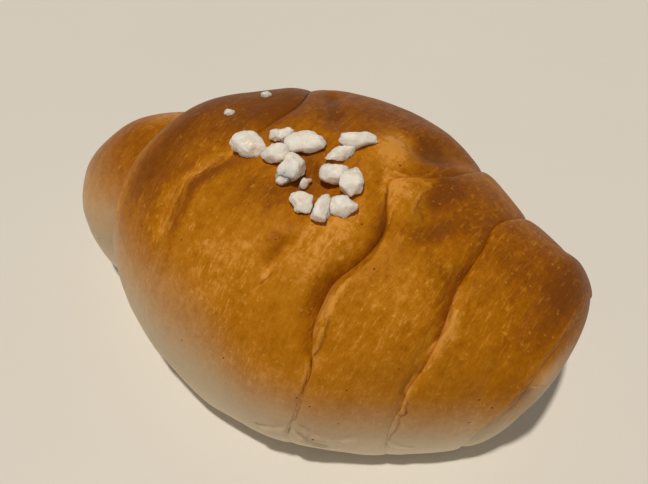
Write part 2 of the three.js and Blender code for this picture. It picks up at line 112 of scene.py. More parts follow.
# Creases, each as (angle, place along the roll) and (angle, depth).
CREASES = [
    {  # where the left lobe goes under the body's shoulder
        "place": [(-180, -41.5), (-90, -44.5), (-60, -45.2), (0, -45.2), (60, -43.7), (120, -42)],
        "depth": [(-180, 1), (-60, 1.6), (60, 1.6)],
        "wander": 0.25,
    },
    {  # left edge of the middle wrap, which fades out down the front
        "place": [(-180, -27), (-110, -24), (-80, -22.5), (-62, -22.8), (-49, -24.3), (-40, -26),
                  (-30, -26.9), (-20, -24.4), (-14, -21), (-4, -19.6), (4, -18.4), (14, -17.6),
                  (24, -19), (40, -22.6), (90, -26)],
        "depth": [(-180, 0.2), (-110, 0), (-75, 0.1), (-52, 0.6), (-38, 2.2), (-20, 2.2), (0, 2.2),
                  (20, 2.4), (60, 1.5), (120, 1)],
        "wander": 0.15,
    },
    {  # right edge of the middle wrap, which jumps to the right just behind the crown
        "place": [(-180, 18), (-97, 17.5), (-87, 18.7), (-77, 19.3), (-68, 19.6), (-60, 19.2),
                  (-54, 17.8), (-48, 16.2), (-40, 15.4), (-33, 15.5), (-27, 16.9), (-20, 18.4),
                  (-14, 18.8), (-8, 17.9), (-1, 14.9), (4, 13.3), (9, 16), (15, 19.2),
                  (24, 22.4), (42, 24.1), (90, 22)],
        "depth": [(-180, 0.8), (-97, 0.9), (-80, 1.2), (-66, 1.6), (-56, 2.6), (-42, 4.4), (-18, 4),
                  (-4, 2.2), (5, 2.2), (20, 2.4), (42, 1.6), (90, 1.8)],
        "wander": 0.15,
    },
    {  # left edge of the right end
        "place": [(-180, 36), (-97, 36.6), (-84, 36.6), (-71, 37.4), (-64, 37.1), (-51, 38.2),
                  (-37, 38.1), (-20, 36.8), (-8, 36.7), (1, 36.8), (16, 36.1), (34, 38.1),
                  (60, 39), (110, 37.5)],
        "depth": [(-180, 0.8), (-97, 0.8), (-80, 1.2), (-62, 2.2), (-40, 3.6), (-20, 4),
                  (-4, 2.8), (16, 2.4), (40, 2.2), (90, 2)],
        "wander": 0.15,
    },
    {  # edge of the right end over the core of the roll
        "place": [(-180, 50), (-115, 52), (-99, 53), (-81, 55), (-67, 56.4), (-52, 57.3),
                  (-26, 58.6), (0, 59.4), (48, 59.8), (80, 58), (120, 53)],
        "depth": [(-180, 0.6), (-98, 0.7), (-82, 1.3), (-60, 1.6), (-20, 0.9), (10, 0.5), (60, 0.4)],
        "wander": 0.15,
    },
]
WANDER_WAVES = [(3, 1, 0.6), (7, 2.1, 0.4), (13, 3.7, 0.25)]  # turns round, shift and share
CORE_INSET = [(-180, 2), (-125, 1.6), (-105, 0.6), (-85, 2.4), (-68, 2.2), (-55, 1.8), (-46, 0.6),
              (-10, 0.4), (60, 0.3), (120, 1)]

# Bands between the creases, with the rims that turn down into them: the width that the turn
# takes, how soon it is full, how round it is and how far it leans over the crease.
WIDEST_RIM = 0.7  # of its band
BANDS = [
    {"share": 0.12, "left": None, "right": (6, 2, 1.2, 0)},
    {"share": 0.14, "left": (9, 2, 2, 1.2), "right": (6, 2, 1.4, 0)},
    {"share": 0.32, "left": (7, 2.2, 1.5, 0.3), "right": (10, 2.2, 1.2, 0.4)},
    {"share": 0.18, "left": (4.5, 2, 1.7, 0), "right": (10, 2.2, 1.35, 0.5)},
    {"share": 0.18, "left": (4.5, 2, 1.7, 0), "right": (6, 2, 1.7, 0.4)},
    {"share": 0.06, "left": (3, 2, 1.5, 0), "right": None},
]
LOBE = 0
CORE = len(BANDS) - 1
BASE_ANGLE = 146.0
UNDER_SHARE = 0.08  # share of the rows that cross the flat base

# Where the relief sets in and where it is full: heights over the table, then shares of the
# lobe's and the core's band.
CROWN_HEIGHTS = (20, 34)
LOBE_RELIEF = (0, 0.25)
CORE_RELIEF = (1, 0.3)
CORE_INSET_START = (0, 0.2)
CORE_INSET_END = (1, 0.7)

# Dents and swellings of the crown: middle, reach, turn, steepness and height.
ROUNDS = [
    ((1.5, -7), (13, 11), 0, 1, -1.2),
    ((9.6, 8.6), (4.6, 6), -30, 1.3, 1.8),
    ((16.5, 20.5), (4, 11), -28, 1.2, -2.4),
]
PIT_AT = (1.2, -7.3)
PIT_REACH = (5.4, 6.4)
PIT_STEEPNESS = 1.5
PIT_HEIGHT = -3.8
PIT_EDGE = [(2, 0.6, 0.16), (3, -1, 0.12), (5, 2, 0.07)]  # turns round, shift and share
PIT_EDGE_POWER = 3  # how strongly its ragged edge shows

# Folds of the crown: path, width and height.
FOLDS = [
    ([(8.5, -17.5), (4.6, -23), (3.7, -26.5), (4, -31.5)], 1.7, -1.1),
    ([(8, -24.5), (6.4, -28), (6.6, -31.5)], 1.3, 0.35),
    ([(-16, 27), (-13, 21), (-8, 13), (-4, 6)], 2.4, -1.5),
    ([(-8.5, 18), (-4, 11.5), (-1.5, 6)], 1.8, -0.6),
    ([(9.8, 9.5), (11, 5.5), (12.3, 1.5), (14.8, -1)], 1.1, -0.7),
    ([(20.2, 14), (22, 7), (24, 1.5), (27, -3), (29.5, -7.5)], 3, -1.8),
    ([(19, 3.5), (21.5, -4), (24, -13)], 3.6, 0.7),
    ([(13, -6), (13.5, -14), (12, -22), (10.5, -30)], 4.5, 0.8),
    ([(-33, -24), (-35, -14), (-33, -2)], 4, -0.5),
    ([(19, -12), (17.4, -17.5), (15.6, -22.5), (15, -27), (16.2, -31.5)], 2.2, -0.7),
    ([(20.4, -15), (18.8, -20), (17.6, -25), (18.2, -29.5), (19.6, -33)], 1.1, 0.6),
    ([(35.2, 3), (35.4, -6), (35.9, -13), (36, -20)], 2.2, -0.6),
    ([(38.8, -8), (39.6, -14), (39.4, -19), (39, -25)], 1.3, 0.6),
    ([(13.2, 3), (14.2, -1), (15.8, -5)], 1.1, 0.5),
]
FOLD_TAPER = 0.3  # of a fold's length, at each end

# Long soft waves of the whole crust: waves per mm along, shift, turns round, phase, height.
WAVES = [
    (0.11, 1.3, 2, 0.7, 0.45),
    (0.17, -1, 3, -0.4, 0.35),
    (0.31, 0.4, 5, 1.9, 0.22),
]

# Fine unevenness of the skin: cell in mm, share of the skin's relief, seed.
SKIN_LAYERS = [(7.0, 1, 3), (3.2, 0.6, 5), (1.6, 0.35, 8)]

# Salt crystals of one or two lumps each: middle on the crown, height of the middle over the
# crust, length, width and height, turn of the length, thinning towards its far end, seed.
CRYSTALS = [
    [((-5.1, -7.2), 1.9, (6.8, 6.8, 5.8), 30, 0.1, 59), ((-5.1, -9.3), 1, (5.8, 4.8, 4), 50, 0, 61)],
    [((7.9, -3.8), 1.6, (9.4, 5.4, 5), 112, 0.4, 97)],
    [((9.9, -10.2), 1.5, (6.7, 4.9, 4.6), 22, 0, 139)],
    [((2.6, -2.9), 1.9, (7.2, 6.6, 5.4), 36, 0.1, 83)],
    [((6.8, -13.3), 1.4, (8.2, 4.4, 4.2), 106, 0.3, 127)],
    [((2.2, -13.8), 1.5, (5.8, 5.2, 4.5), 20, 0, 109)],
    [((-9.8, -6.6), 1.5, (8, 5.4, 4.6), 50, -0.1, 41)],
    [((-16.6, -6.9), 1.6, (9.6, 6.6, 5), 14, 0.2, 11)],
    [((-5.7, -0.2), 1.6, (9.9, 5.8, 5), 42, 0.15, 37)],
    [((-12.1, -1.5), 1.3, (6.6, 4.5, 4), 20, 0, 23)],
    [((3.3, 6), 1.3, (9, 4.2, 4), 33, 0.25, 73)],
    [((1.5, 0.6), 1, (8.4, 3.2, 3), 66, -0.45, 79)],
]
CHIPS = [
    ((-1.7, -7.2), 0.9, (3.7, 2.8, 3), 70, 0, 149),
    ((-29.8, 2.1), 0.4, (2.9, 2.4, 1.9), 30, 0, 151),
    ((-26.8, 12.6), 0.4, (3.4, 2.4, 1.9), 35, 0, 157),
]
CRYSTAL_FACETS = 16
FACET_TURN = 2.4  # radians from one facet to the next
FACET_TURN_SWAY = 1.1  # radians that chance changes that turn
FACET_HEIGHT_SWAY = 0.16  # radii that chance moves a facet up or down the ball
FACET_NEAREST = 0.64  # radii from the ball's middle
FACET_SPREAD = 0.36  # radii that chance adds to it
CRYSTAL_SHARPNESS = 32.0  # of the edges between its faces
CRYSTAL_ROUGHNESS = [(2.2, 0.4), (1.1, 0.24), (0.5, 0.12), (0.27, 0.05)]  # cell and height, in mm


# ---------------------------------------------------------------- how the crust is baked, and its painted shade and light
# Browning from 0, barely coloured, to 1, dark; the stripes, patches and lines below also put
# painted shade and light into it. Angles go round the roll as in the creases.

# Browning of each band, as (angle, amount).
BAND_BROWNING = [
    [(-90, 0.1), (-64, 0.3), (-45, 0.5), (-25, 0.65), (0, 0.7), (40, 0.6), (90, 0.5), (150, 0.1)],
    [(-90, 0.15), (-75, 0.25), (-62, 0.4), (-45, 0.56), (-30, 0.76), (-12, 0.76), (5, 0.88),
     (22, 1), (60, 0.95), (110, 0.5), (160, 0.1)],
    [(-95, 0.2), (-75, 0.34), (-55, 0.42), (-40, 0.42), (-25, 0.4), (-10, 0.5), (5, 0.6),
     (20, 0.84), (60, 0.85), (110, 0.4), (160, 0.1)],
    [(-95, 0.2), (-75, 0.36), (-55, 0.4), (-38, 0.36), (-24, 0.35), (-10, 0.5), (2, 0.6),
     (14, 0.75), (30, 0.72), (90, 0.6), (150, 0.1)],
    [(-95, 0.2), (-75, 0.38), (-55, 0.45), (-30, 0.48), (-15, 0.55), (0, 0.7), (25, 0.72),
     (45, 0.8), (90, 0.6), (150, 0.1)],
    [(-95, 0.1), (-75, 0.3), (-60, 0.6), (-40, 0.65), (0, 0.62), (25, 0.75), (60, 0.8), (150, 0.1)],
]
STREAK_SHARE = 0.25  # of its length round the roll that a streak would have along it
BAND_BLEND = 6.0  # mm over which one band's browning goes over into the next

# Stripes along a crease: which crease, distance from it (left is negative), half width, and
# (angle, browning added). The darker stripes on the flanks that fall into creases 1, 2 and 3 are
# partly painted shade of the groove, and the lighter ones beside them partly paler crust and
# partly painted light on the rising side.
CREASE_STRIPES_AND_SHADE = [
    (0, 3.5, 1.6, [(-70, 0), (-56, -0.35), (-44, -0.35), (-28, -0.3), (-10, -0.15), (10, 0),
                   (60, 0)]),
    (0, -6.5, 4, [(-10, 0), (8, -0.15), (20, -0.4), (40, -0.3), (70, 0)]),
    (0, 7.5, 3, [(-64, 0), (-40, 0.05), (-24, 0.12), (0, 0.15), (20, 0.1), (60, 0)]),
    (1, -0.2, 2.1, [(-54, 0), (-44, -0.3), (-30, -0.5), (-18, -0.5), (-8, -0.45), (4, 0),
                    (60, 0)]),
    (1, 3.8, 2, [(-52, 0), (-40, 0.2), (-24, 0.3), (-12, 0.2), (0, 0), (60, 0)]),
    (2, -2.0, 1.5, [(-88, 0), (-76, 0.12), (-64, -0.08), (-56, 0.3), (-46, 0.25), (-38, 0.4),
                    (-30, 0.42), (-22, 0.2), (-14, 0.3), (-7, 0.42), (0, -0.15), (9, 0.1),
                    (18, 0), (90, 0)]),
    (2, 0.5, 0.8, [(-66, 0), (-54, -0.3), (-40, -0.35), (-28, -0.1), (-10, 0), (0, -0.3),
                   (9, -0.45), (18, 0), (90, 0)]),
    (2, 1.8, 1.4, [(-62, 0), (-54, -0.05), (-46, -0.3), (-39, -0.3), (-32, 0.1), (-26, 0.15),
                   (-16, -0.1), (-8, 0), (1, -0.35), (9, -0.2), (18, 0), (90, 0)]),
    (3, -1.9, 1.5, [(-90, 0), (-76, 0.12), (-60, 0.1), (-46, 0.15), (-34, 0.36), (-24, 0.45),
                    (-14, 0.4), (-4, 0.22), (12, 0.08), (30, 0), (90, 0)]),
    (3, 0.8, 1.2, [(-76, 0), (-66, -0.25), (-56, -0.15), (-46, -0.45), (-36, -0.5), (-26, -0.4),
                   (-16, -0.3), (-6, -0.12), (10, -0.1), (40, -0.1), (90, 0)]),
    (3, 2.6, 1.4, [(-50, 0), (-40, -0.2), (-31, -0.4), (-22, -0.05), (-10, 0), (90, 0)]),
    (4, -4.5, 4, [(-90, -0.1), (-70, -0.05), (-56, 0.1), (-34, 0.2), (-20, 0.3), (-4, 0.35),
                  (16, 0.3), (40, 0.15), (90, 0)]),
    (4, 2.6, 0.8, [(-70, 0), (-56, -0.4), (-46, -0.5), (-30, -0.25), (0, -0.2), (16, 0),
                   (90, 0)]),
]

# Patches: place along the roll, angle, reach along, reach round, turn and browning added.
# Some are painted light and shade: the lighter one at (10.5, 9) is a painted highlight on the
# bulge beside the salt, the darker one at (15, 25) is partly painted shade in the dip beyond that
# bulge, and the darker one at (58.3, -59) is a painted shadow under the core's flap.
ARC = 0.7  # mm round the roll for a degree
BAKE_LIGHT_AND_SHADE_PATCHES = [
    (-62, -36, 4, 5, 0, 0.1), (-36, -14, 5, 7, 0, 0.08), (-27, -13, 4.5, 4.5, 0, -0.22),
    (-20, 8, 7, 6, 0, 0.15), (-13, -20, 6, 5, 0, 0.14), (-3.5, -20, 4.5, 4, 0, 0.24),
    (-7, -41, 9, 4.5, 10, -0.24), (6.5, -30, 11, 5, 0, -0.3), (11.5, -15, 3, 6, 0, -0.4),
    (-2, -8, 6, 6, 0, 0.35), (10.5, 9, 3.5, 4, 0, -0.55), (15, 25, 2.5, 5, -20, 0.25),
    (29, 35, 9, 8, 0, -0.15), (-10, -20, 6, 5, 0, 0.12), (-38, -36, 5, 8, 0, 0.12),
    (20, 40, 8, 8, 0, -0.1), (13.5, 3, 2, 2.5, 0, -0.15), (10, 17, 5, 4, -30, -0.6),
    (19.5, 3, 2.6, 5, 0, -0.2), (24.5, 10, 2.6, 5, 0, 0.4), (28, -3, 2.6, 7, -30, 0.42),
    (25, 19, 4, 4, 0, 0.06), (28, -30, 4, 10, 0, -0.08), (-15, 40, 12, 8, 0, -0.08),
    (2.6, -30, 4.5, 4, 0, 0.4), (30, 32, 5, 4, 0, 0.2), (24.2, -24, 3, 3.5, 0, 0.18),
    (20, -34, 2.5, 5, 0, 0.2), (-11, -30, 4, 4, 0, 0.1), (-5, -52, 7, 5, 0, -0.2),
    (58.7, -42, 2.6, 6, 0, -0.3), (21.2, -57, 3, 2.5, 0, -0.25), (31, -66, 9, 4, 0, -0.12),
    (10, -68, 9, 5, 0, -0.14), (40.8, -41, 1.5, 3, 0, 0.2), (38.1, -44, 1.2, 3, 0, -0.2),
    (31, -17, 4, 4, 0, 0.1), (45, -2, 8, 6, 0, 0.09), (40.8, -16, 3, 3, 0, 0.1),
    (16.6, -23, 2.5, 4, 0, -0.12), (24.3, -4, 3, 4, 0, -0.12), (19.3, 26, 4, 3, 0, 0.1),
    (-26.5, -25, 2, 4, 0, 0.12), (17.2, 3, 3, 4.5, 0, -0.35), (23, 9, 1.8, 5, 0, 0.2),
    (7.5, 12, 3, 3, 0, -0.3), (58.3, -59, 1.2, 3.5, 0, 0.4),
]

# Painted shade and painted light along small folds and lips: lines that darken a fold's side
# turned from the lamp and lighten the side or lip turned to it. Path of (place along the roll,
# angle), half width, browning.
FOLD_SHADE_AND_LIGHT_LINES = [
    ([(-15.1, 34), (-12, 25), (-8.5, 18), (-6.6, 14)], 1.1, 0.3),
    ([(-7.1, 21), (-6.4, 17), (-5.5, 13)], 0.6, 0.3),
    ([(-22.9, 24), (-21.7, 17), (-20.7, 12), (-20.4, 7)], 1.2, 0.25),
    ([(17, -6), (18.6, -12), (18.7, -17), (18.4, -22), (17, -27)], 1.5, 0.2),
    ([(-17.6, -13), (-20.1, -19), (-22.3, -24), (-23.1, -27), (-22.4, -31), (-21.7, -37),
      (-21.6, -42), (-22.5, -49)], 1.2, 0.17),
    ([(-20.2, -12), (-22.6, -18), (-24.8, -23), (-25.6, -27), (-24.8, -32), (-24, -38),
      (-23.9, -43), (-25, -48), (-26.3, -53)], 1, -0.25),
    ([(38.9, -26), (39.4, -31), (39.3, -35), (39, -38), (38.2, -42), (37.9, -45), (37.2, -50)],
     0.7, -0.22),
    ([(19, -29), (18.5, -33), (17.9, -37), (18.1, -41), (17.5, -45)], 0.9, -0.3),
    ([(5, -11), (4.4, -18), (3.6, -24), (3, -29), (2.8, -34), (2.8, -40)], 1.6, 0.2),
    ([(7.4, -11), (6.9, -18), (6.4, -23), (5.8, -28), (5.2, -33), (4.8, -39)], 1.4, -0.14),
    ([(3.3, -35), (3.4, -38), (3.2, -41.5)], 0.6, -0.35),
    ([(15.6, -24), (14.6, -30), (14, -34), (13.6, -40), (13.8, -47)], 1.6, 0.14),
]
FOLD_SHADE_TAPER = 0.2  # of a line's length, at each end

# Torn edges of the skin: path, width, darkness of the tear, lightness and height of the lip.
# The darkness is painted shade in the crack, and the lip's lightness partly paler crust and
# partly a painted highlight. A tear lies on the right of its path's run down the front, and its
# lip on the left.
TEARS = [
    ([(-20.3, -12), (-21.9, -14), (-22.7, -18), (-23.4, -21), (-25, -24), (-25.9, -27),
      (-25.3, -31), (-24.6, -37), (-24.3, -41), (-24, -47)], 1.3, 0.55, 0.5, 0.2),
    ([(19.4, -26), (19.6, -23), (20.2, -21), (20.1, -18), (19.7, -16), (19.3, -12), (19.5, -9)],
     1, 0.5, 0.5, 0.3),
    ([(18.6, -44), (17.8, -41), (17.4, -37), (17.7, -34), (17.8, -30), (19.2, -26.5)],
     1.2, 0.4, 1.3, 0.4),
    ([(37.6, -46), (38, -42), (39, -37), (39.2, -33), (38.8, -29), (38.3, -26)],
     1, 0.3, 1.1, 0.3),
    ([(18, -4), (19.1, -8), (19.4, -10.5)], 0.7, 0.6, 0.5, 0.2),
    ([(18.8, -42), (19.6, -47), (19.8, -51), (19.5, -54), (18.9, -57.5)], 1, 0.8, 0.6, 0.35),
    ([(18.4, -57.5), (19, -61), (19.6, -63), (19.5, -67), (19.7, -70), (19.7, -74)],
     1, 0.75, 0.6, 0.35),
    ([(19.7, -72), (19.6, -77), (19.3, -82), (18.5, -88), (17.7, -91), (17.4, -96)],
     0.9, 0.5, 0.15, 0.1),
    ([(37.6, -54), (36.8, -50), (36.7, -45), (36.6, -41), (36.6, -35), (36.5, -30), (35.9, -24),
      (35.4, -20), (34.8, -14), (34.7, -8)], 1, 0.3, 0.25, 0.08),
    ([(37.3, -67.5), (36.9, -63), (37, -59), (37.6, -54)], 1, 0.5, 0.7, 0.4),
    ([(38, -67.5), (38.5, -70), (38.5, -74), (37.8, -77), (37.6, -79)], 1, 0.7, 0.7, 0.35),
    ([(37.8, -76), (37.9, -79), (37.9, -83), (37.6, -86), (37, -91), (36.8, -97)],
     0.9, 0.6, 0.1, 0.1),
    ([(60.6, 30), (60, 12), (59.5, -4), (59, -17), (58.4, -30), (57.7, -42), (57, -55), (55.9, -69),
      (53.6, -82), (51, -95)], 0.9, 0.06, 0.4, 0.25),
    ([(56.8, -50.5), (58.7, -51), (61.2, -49.5)], 1.1, 0.15, 1.5, 0.4),
    ([(4.3, -37.5), (4, -40), (3.2, -42.5)], 0.7, 0.7, 0.5, 0.15),
    ([(5, 6), (6.1, 8), (7.2, 9.5)], 0.6, 0.8, 0, 0),
    ([(13.3, 2), (14.7, -1), (15.9, -4), (16.6, -7)], 0.8, 0.6, 0.3, 0.1),
    ([(11.6, 5.5), (14.8, 8), (17.2, 12), (18.5, 16), (18.6, 20)], 0.7, 0.3, 0.9, 0.15),
    ([(19.4, 19), (20.7, 31), (22, 40)], 0.9, 0.2, 0.5, 0.15),
    ([(20.9, 13), (20.6, 10), (20.6, 5), (21.5, 0), (22, -3)], 0.8, 0.4, 0.8, 0.25),
    ([(9.5, -97), (14.9, -93), (17.7, -91)], 1.9, 0.15, 0.4, 0.5),
    ([(17.8, -90.6), (19.6, -92.5), (21.3, -95.5), (23.3, -98), (27, -101)], 1.8, 0.12, 0.4, 0.5),
    ([(19.2, -89.5), (22.4, -91), (25.4, -91.8), (28.3, -92), (32.5, -90.5)], 2, 0.15, 0.3, 0.5),
    ([(36.2, -91.5), (38.6, -95), (42, -98.5)], 1.9, 0.12, 0.3, 0.5),
]
TEAR_TAPER = 0.12  # of a tear's length, at each end
TEAR_REACH = (1.8, 1.08)  # widths on either side where a tear ends, and where it starts to fade
TEAR_PROFILE = [(-0.55, 0.45, 1), (0.15, 0.35, -0.7)]  # lip and groove: middle, half width, height
TEAR_GAPS = (0.75, 1.1)  # how much of an even tear shows, and how much less as it sways
RAGGEDNESS = [(2.6, 0.3, 7), (1.1, 0.25, 9)]  # of a tear: cell in mm, sway in widths, seed

# Patches that stay pale over the pale line: place, angle, reach along, reach round, turn, share.
# The one at (10.5, 10) adds to the painted highlight on the bulge beside the salt.
PALE_PATCHES = [
    (-8, -54, 15, 10, 0, 0.16), (10.5, 10, 3.5, 4, 0, 0.25), (-52, 20, 4, 8, 0, 0.25),
    (-46, -66, 7, 6, 0, 0.12), (60.5, -50, 3.2, 16, 0, 0.5),
    (61.5, -20, 2.4, 18, 0, 0.5),
]

# Small blisters of the skin: place along the roll, angle, radius and height. They are
# lightened like lips, partly as paler crust and partly as a painted highlight.
BLISTERS = [
    (49.1, -30, 0.8, 0.3), (-11.6, -40, 0.8, 0.25), (-9.5, -19, 0.8, 0.25), (-34.4, -16, 0.6, 0.2),
    (-27.8, -15, 0.6, 0.2), (20.2, 10, 0.9, 0.25), (47.1, -40, 0.6, 0.2), (33.4, -12, 0.8, 0.25),
    (31, -25, 0.6, 0.2), (44.3, -45, 0.6, 0.2), (-45, 70, 0.8, 0.25), (-12, 62, 0.7, 0.25),
    (6, 74, 0.8, 0.3), (29, 60, 0.7, 0.25), (47, 66, 0.7, 0.2),
]
BLISTER_EDGE = 0.2  # of its height
LIP_SIDE = -0.6  # widths from a tear where its lip is lightest

# Height at which the pale side goes over into the baked crust, as (place along the roll, mm).
PALE_LINE = [(-70, 30), (-40, 31), (-20, 33), (-5, 31), (10, 27.5), (43, 22.5), (63, 22)]
PALE_BLEND = 22.0  # mm of height over which it goes over


# ---------------------------------------------------------------- what the finishes are made of
# Noises, as repeats in a metre, detail and roughness.
PATCHY = (70, 3, 0.6)
STREAKY = (420, 4, 0.85)
MOTTLED = (480, 4, 0.8)
SCRATCHED = (1300, 2, 0.7)
CLOUDED = (300, 3, 0.5)
GRAINY = (1300, 4, 0.7)
TABLE_CLOUDS = (9, 3, 0.5)

# Pairs below are where a ramp starts and where it is full, if nothing else is said. "Pales" is the
# browning that a mark takes away, and "tint" how much of its own colour it shows.
PATCHES_BROWN = 0.35  # how far each noise sways the browning
STREAKS_BROWN = 0.8
MOTTLE_BROWN = 1.0
BROWNED_EVENS = (-1.1, 1.55)  # slope and start: darker crust is more even
UNEVEN_OVER_TABLE = (0.026, 0.052)  # metres
LOW_UNEVEN = (0.5, 0.5)  # what height adds to the unevenness, and what is left of it low down
SHORE_SWAY = 0.25  # of the unevenness, where pale and baked crust meet
PALEST_OVER_TABLE = (0.022, 0.003)  # metres

# Fine light flecks along the winding, partly paler crust and partly painted glints.
FLECK_SCRATCHES = (0.54, 0.68)
FLECK_PATCHES = (0.36, 0.6)
FLECK_PALES = 0.25
FLECK_TINT = 0.12

SIDE_SWAY = 0.6  # widths that the mottle moves a tear's edge
LIP_OUTSIDE = (-1.2, -0.6)  # widths from the tear, as the next ones
LIP_INSIDE = (0, -0.3)
TEAR_START = (-0.1, 0.1)
TEAR_END = (0.8, 0.2)
LIP_STREAKS = (0.36, 0.6)
LIP_PALES = 0.55
LIP_TINT = 0.2
TEAR_TINT = 0.9

SPOTS = 700  # in a metre: light dots of the skin, and holes painted dark as their shade
DOT_EDGE = (0.3, 0.1)
DOTS_CHOSEN = (0.76, 0.9)
DOT_TINT = 0.3
HOLE_EDGE = (0.22, 0.12)
HOLES_CHOSEN = (0.02, 0.013)

CRUST_SHEEN = (0.3, 0.3)  # roughness: what the mottle adds, and the least
CRUST_IOR = 1.25
CRUST_GLOSS_TINT = (1.0, 0.62, 0.25, 1.0)
MOTTLE_BUMP = (0.00012, 0.8)  # height in metres and strength, as the next ones
STREAK_BUMP = (0.00018, 0.9)
SCRATCH_BUMP = (0.0001, 0.9)
DOT_BUMP = (0.00008, 0.8)

SALT_CLOUDS = (0.4, 0.7)
SALT_FACETS = 900  # in a metre
GLINTS = (0.9, 0.7)
SALT_SHEEN = (0.45, 0.1)  # roughness: what a dull facet adds, and the least
SALT_GLOW = 0.9
SALT_GLOW_REACH = 0.003  # metres
SALT_GLOW_TINT = (1.0, 0.85, 0.75)
CLOUD_BUMP = (0.0005, 0.6)
FACET_BUMP = (0.0003, 0.5)
GRAIN_BUMP = (0.00015, 0.8)

TABLE_DULL = 0.94  # of its light, where it is clouded
TABLE_SHEEN = (0.1, 0.5)  # roughness: what the clouds add, and the least


# ---------------------------------------------------------------- settings in the sidebar

def length(label, description, millimetres):
    return FloatProperty(name=label, description=description, default=millimetres * MM, unit="LENGTH")


def bearing(label, description, degrees):
    return FloatProperty(name=label, description=description, default=degrees * DEGREE, subtype="ANGLE")


def colour(label, description, value):
    return FloatVectorProperty(
        name=label, description=description, default=value, subtype="COLOR", size=3, min=0, max=1)


class RollSizes(PropertyGroup):
    middle_half_width: length("Middle half width", "Half the roll's width where it is thickest", 45.2)
    middle_height: length("Middle height", "Height of the crown without its salt", 58.8)
    lobe_half_width: length("Lobe half width", "Half the width of the small lobe", 22.9)
    lobe_height: length("Lobe height", "Height of the small lobe", 42.6)
    skin_relief: length("Skin relief", "Height of the fine unevenness of the crust", 0.1)
    columns: IntProperty(name="Columns", description="Mesh columns along the roll", default=336, min=60)
    rows: IntProperty(name="Rows", description="Mesh rows round the roll", default=294, min=60)
    lump_detail: IntProperty(name="Crystal detail", description="Subdivision of a salt lump",
                             default=5, min=2)


class CrustColours(PropertyGroup):
    dark: colour("Dark", "Crust where it is baked most", (0.19, 0.055, 0.006))
    brown: colour("Brown", "Well baked crust", (0.30, 0.092, 0.003))
    golden: colour("Golden", "Crust of an even bake", (0.42, 0.150, 0.003))
    amber: colour("Amber", "Lightly baked crust", (0.52, 0.20, 0.009))
    yellow: colour("Yellow", "Crust that is barely coloured", (0.68, 0.30, 0.05))
    pale: colour("Pale", "Soft side low on the roll", (0.64, 0.50, 0.33))
    palest: colour("Palest", "Side right above the table", (0.90, 0.76, 0.56))
    # Light flecks, partly painted glints; also the tint of the dots and lips
    pale_fleck_and_glint: colour("Flour", "Fine light streaks and small blisters", (0.74, 0.40, 0.07))
    # Painted shade inside the tears and in the holes of the skin
    crack_shade: colour("Crack", "Inside a tear of the skin", (0.15, 0.045, 0.008))


class SaltColours(PropertyGroup):
    white: colour("White", "Salt where it catches the light", (1.0, 0.93, 0.87))
    cloudy: colour("Cloudy", "Denser parts of a crystal", (0.95, 0.81, 0.73))


class StageSettings(PropertyGroup):
    floor: colour("Floor", "Table top", (0.79, 0.785, 0.76))
    aim: FloatVectorProperty(name="Aim", description="Point that the camera looks at",
                             default=(0.0003, 0.00365, 0.0221), subtype="TRANSLATION", size=3)
    azimuth: bearing("Azimuth", "Camera's turn round the roll", 32.71)
    elevation: bearing("Elevation", "Camera's angle over the table", 51.34)
    tilt: bearing("Tilt", "Camera's turn about its own axis", 1.63)
    distance: length("Distance", "From the camera to the point it looks at", 192.2)
    lens: FloatProperty(name="Lens", description="Focal length in mm on a 36 mm frame", default=41.4)
    lamp_from: FloatVectorProperty(name="Lamp from", description="Direction that the lamp shines from",
                                   default=(-0.045, -0.157, 1.0), subtype="DIRECTION", size=3)
    lamp_strength: FloatProperty(name="Lamp", description="Strength of the lamp", default=2.2)
    lamp_softness: bearing("Lamp softness", "Angle that the lamp fills", 3)
    lamp_colour: colour("Lamp colour", "Warm white of the lamp", (1.0, 0.90, 0.76))
    room_strength: FloatProperty(name="Room", description="Strength of the room's own light", default=0.185)
    room_colour: colour("Room colour", "Light that the walls send back", (1.0, 0.93, 0.84))


# ---------------------------------------------------------------- small maths

RANDOM_STEP = 16807  # a random number is the last one times this, less whole limits
RANDOM_LIMIT = 2147483647
NOISE_STEPS = (73856093, 19349663, 83492791)  # whole numbers that scatter the cells' corners
NOISE_SEED_STEP = 2654435
NOISE_MIXER = 1274126177
NOISE_SHIFTS = (13, 16)
NOISE_MASK = 0xFFFF


def clamp(x):
    return np.minimum(np.maximum(x, 0), 1)


def smooth(start, end, x):
    t = clamp((x - start) / (end - start))
    return t * t * (3 - 2 * t)


def tapered(along, taper):
    """1 along a path, falling to 0 at both its ends."""
    return smooth(0, taper, along) * smooth(1, 1 - taper, along)


def bell(x):
    return np.exp(-(x ** 2))


def oval(u, v, reach, turn):
    """Squared distance from the middle of a turned oval, as a share of its reach."""
    c, s = math.cos(turn * DEGREE), math.sin(turn * DEGREE)
    return ((u * c + v * s) / reach[0]) ** 2 + ((v * c - u * s) / reach[1]) ** 2


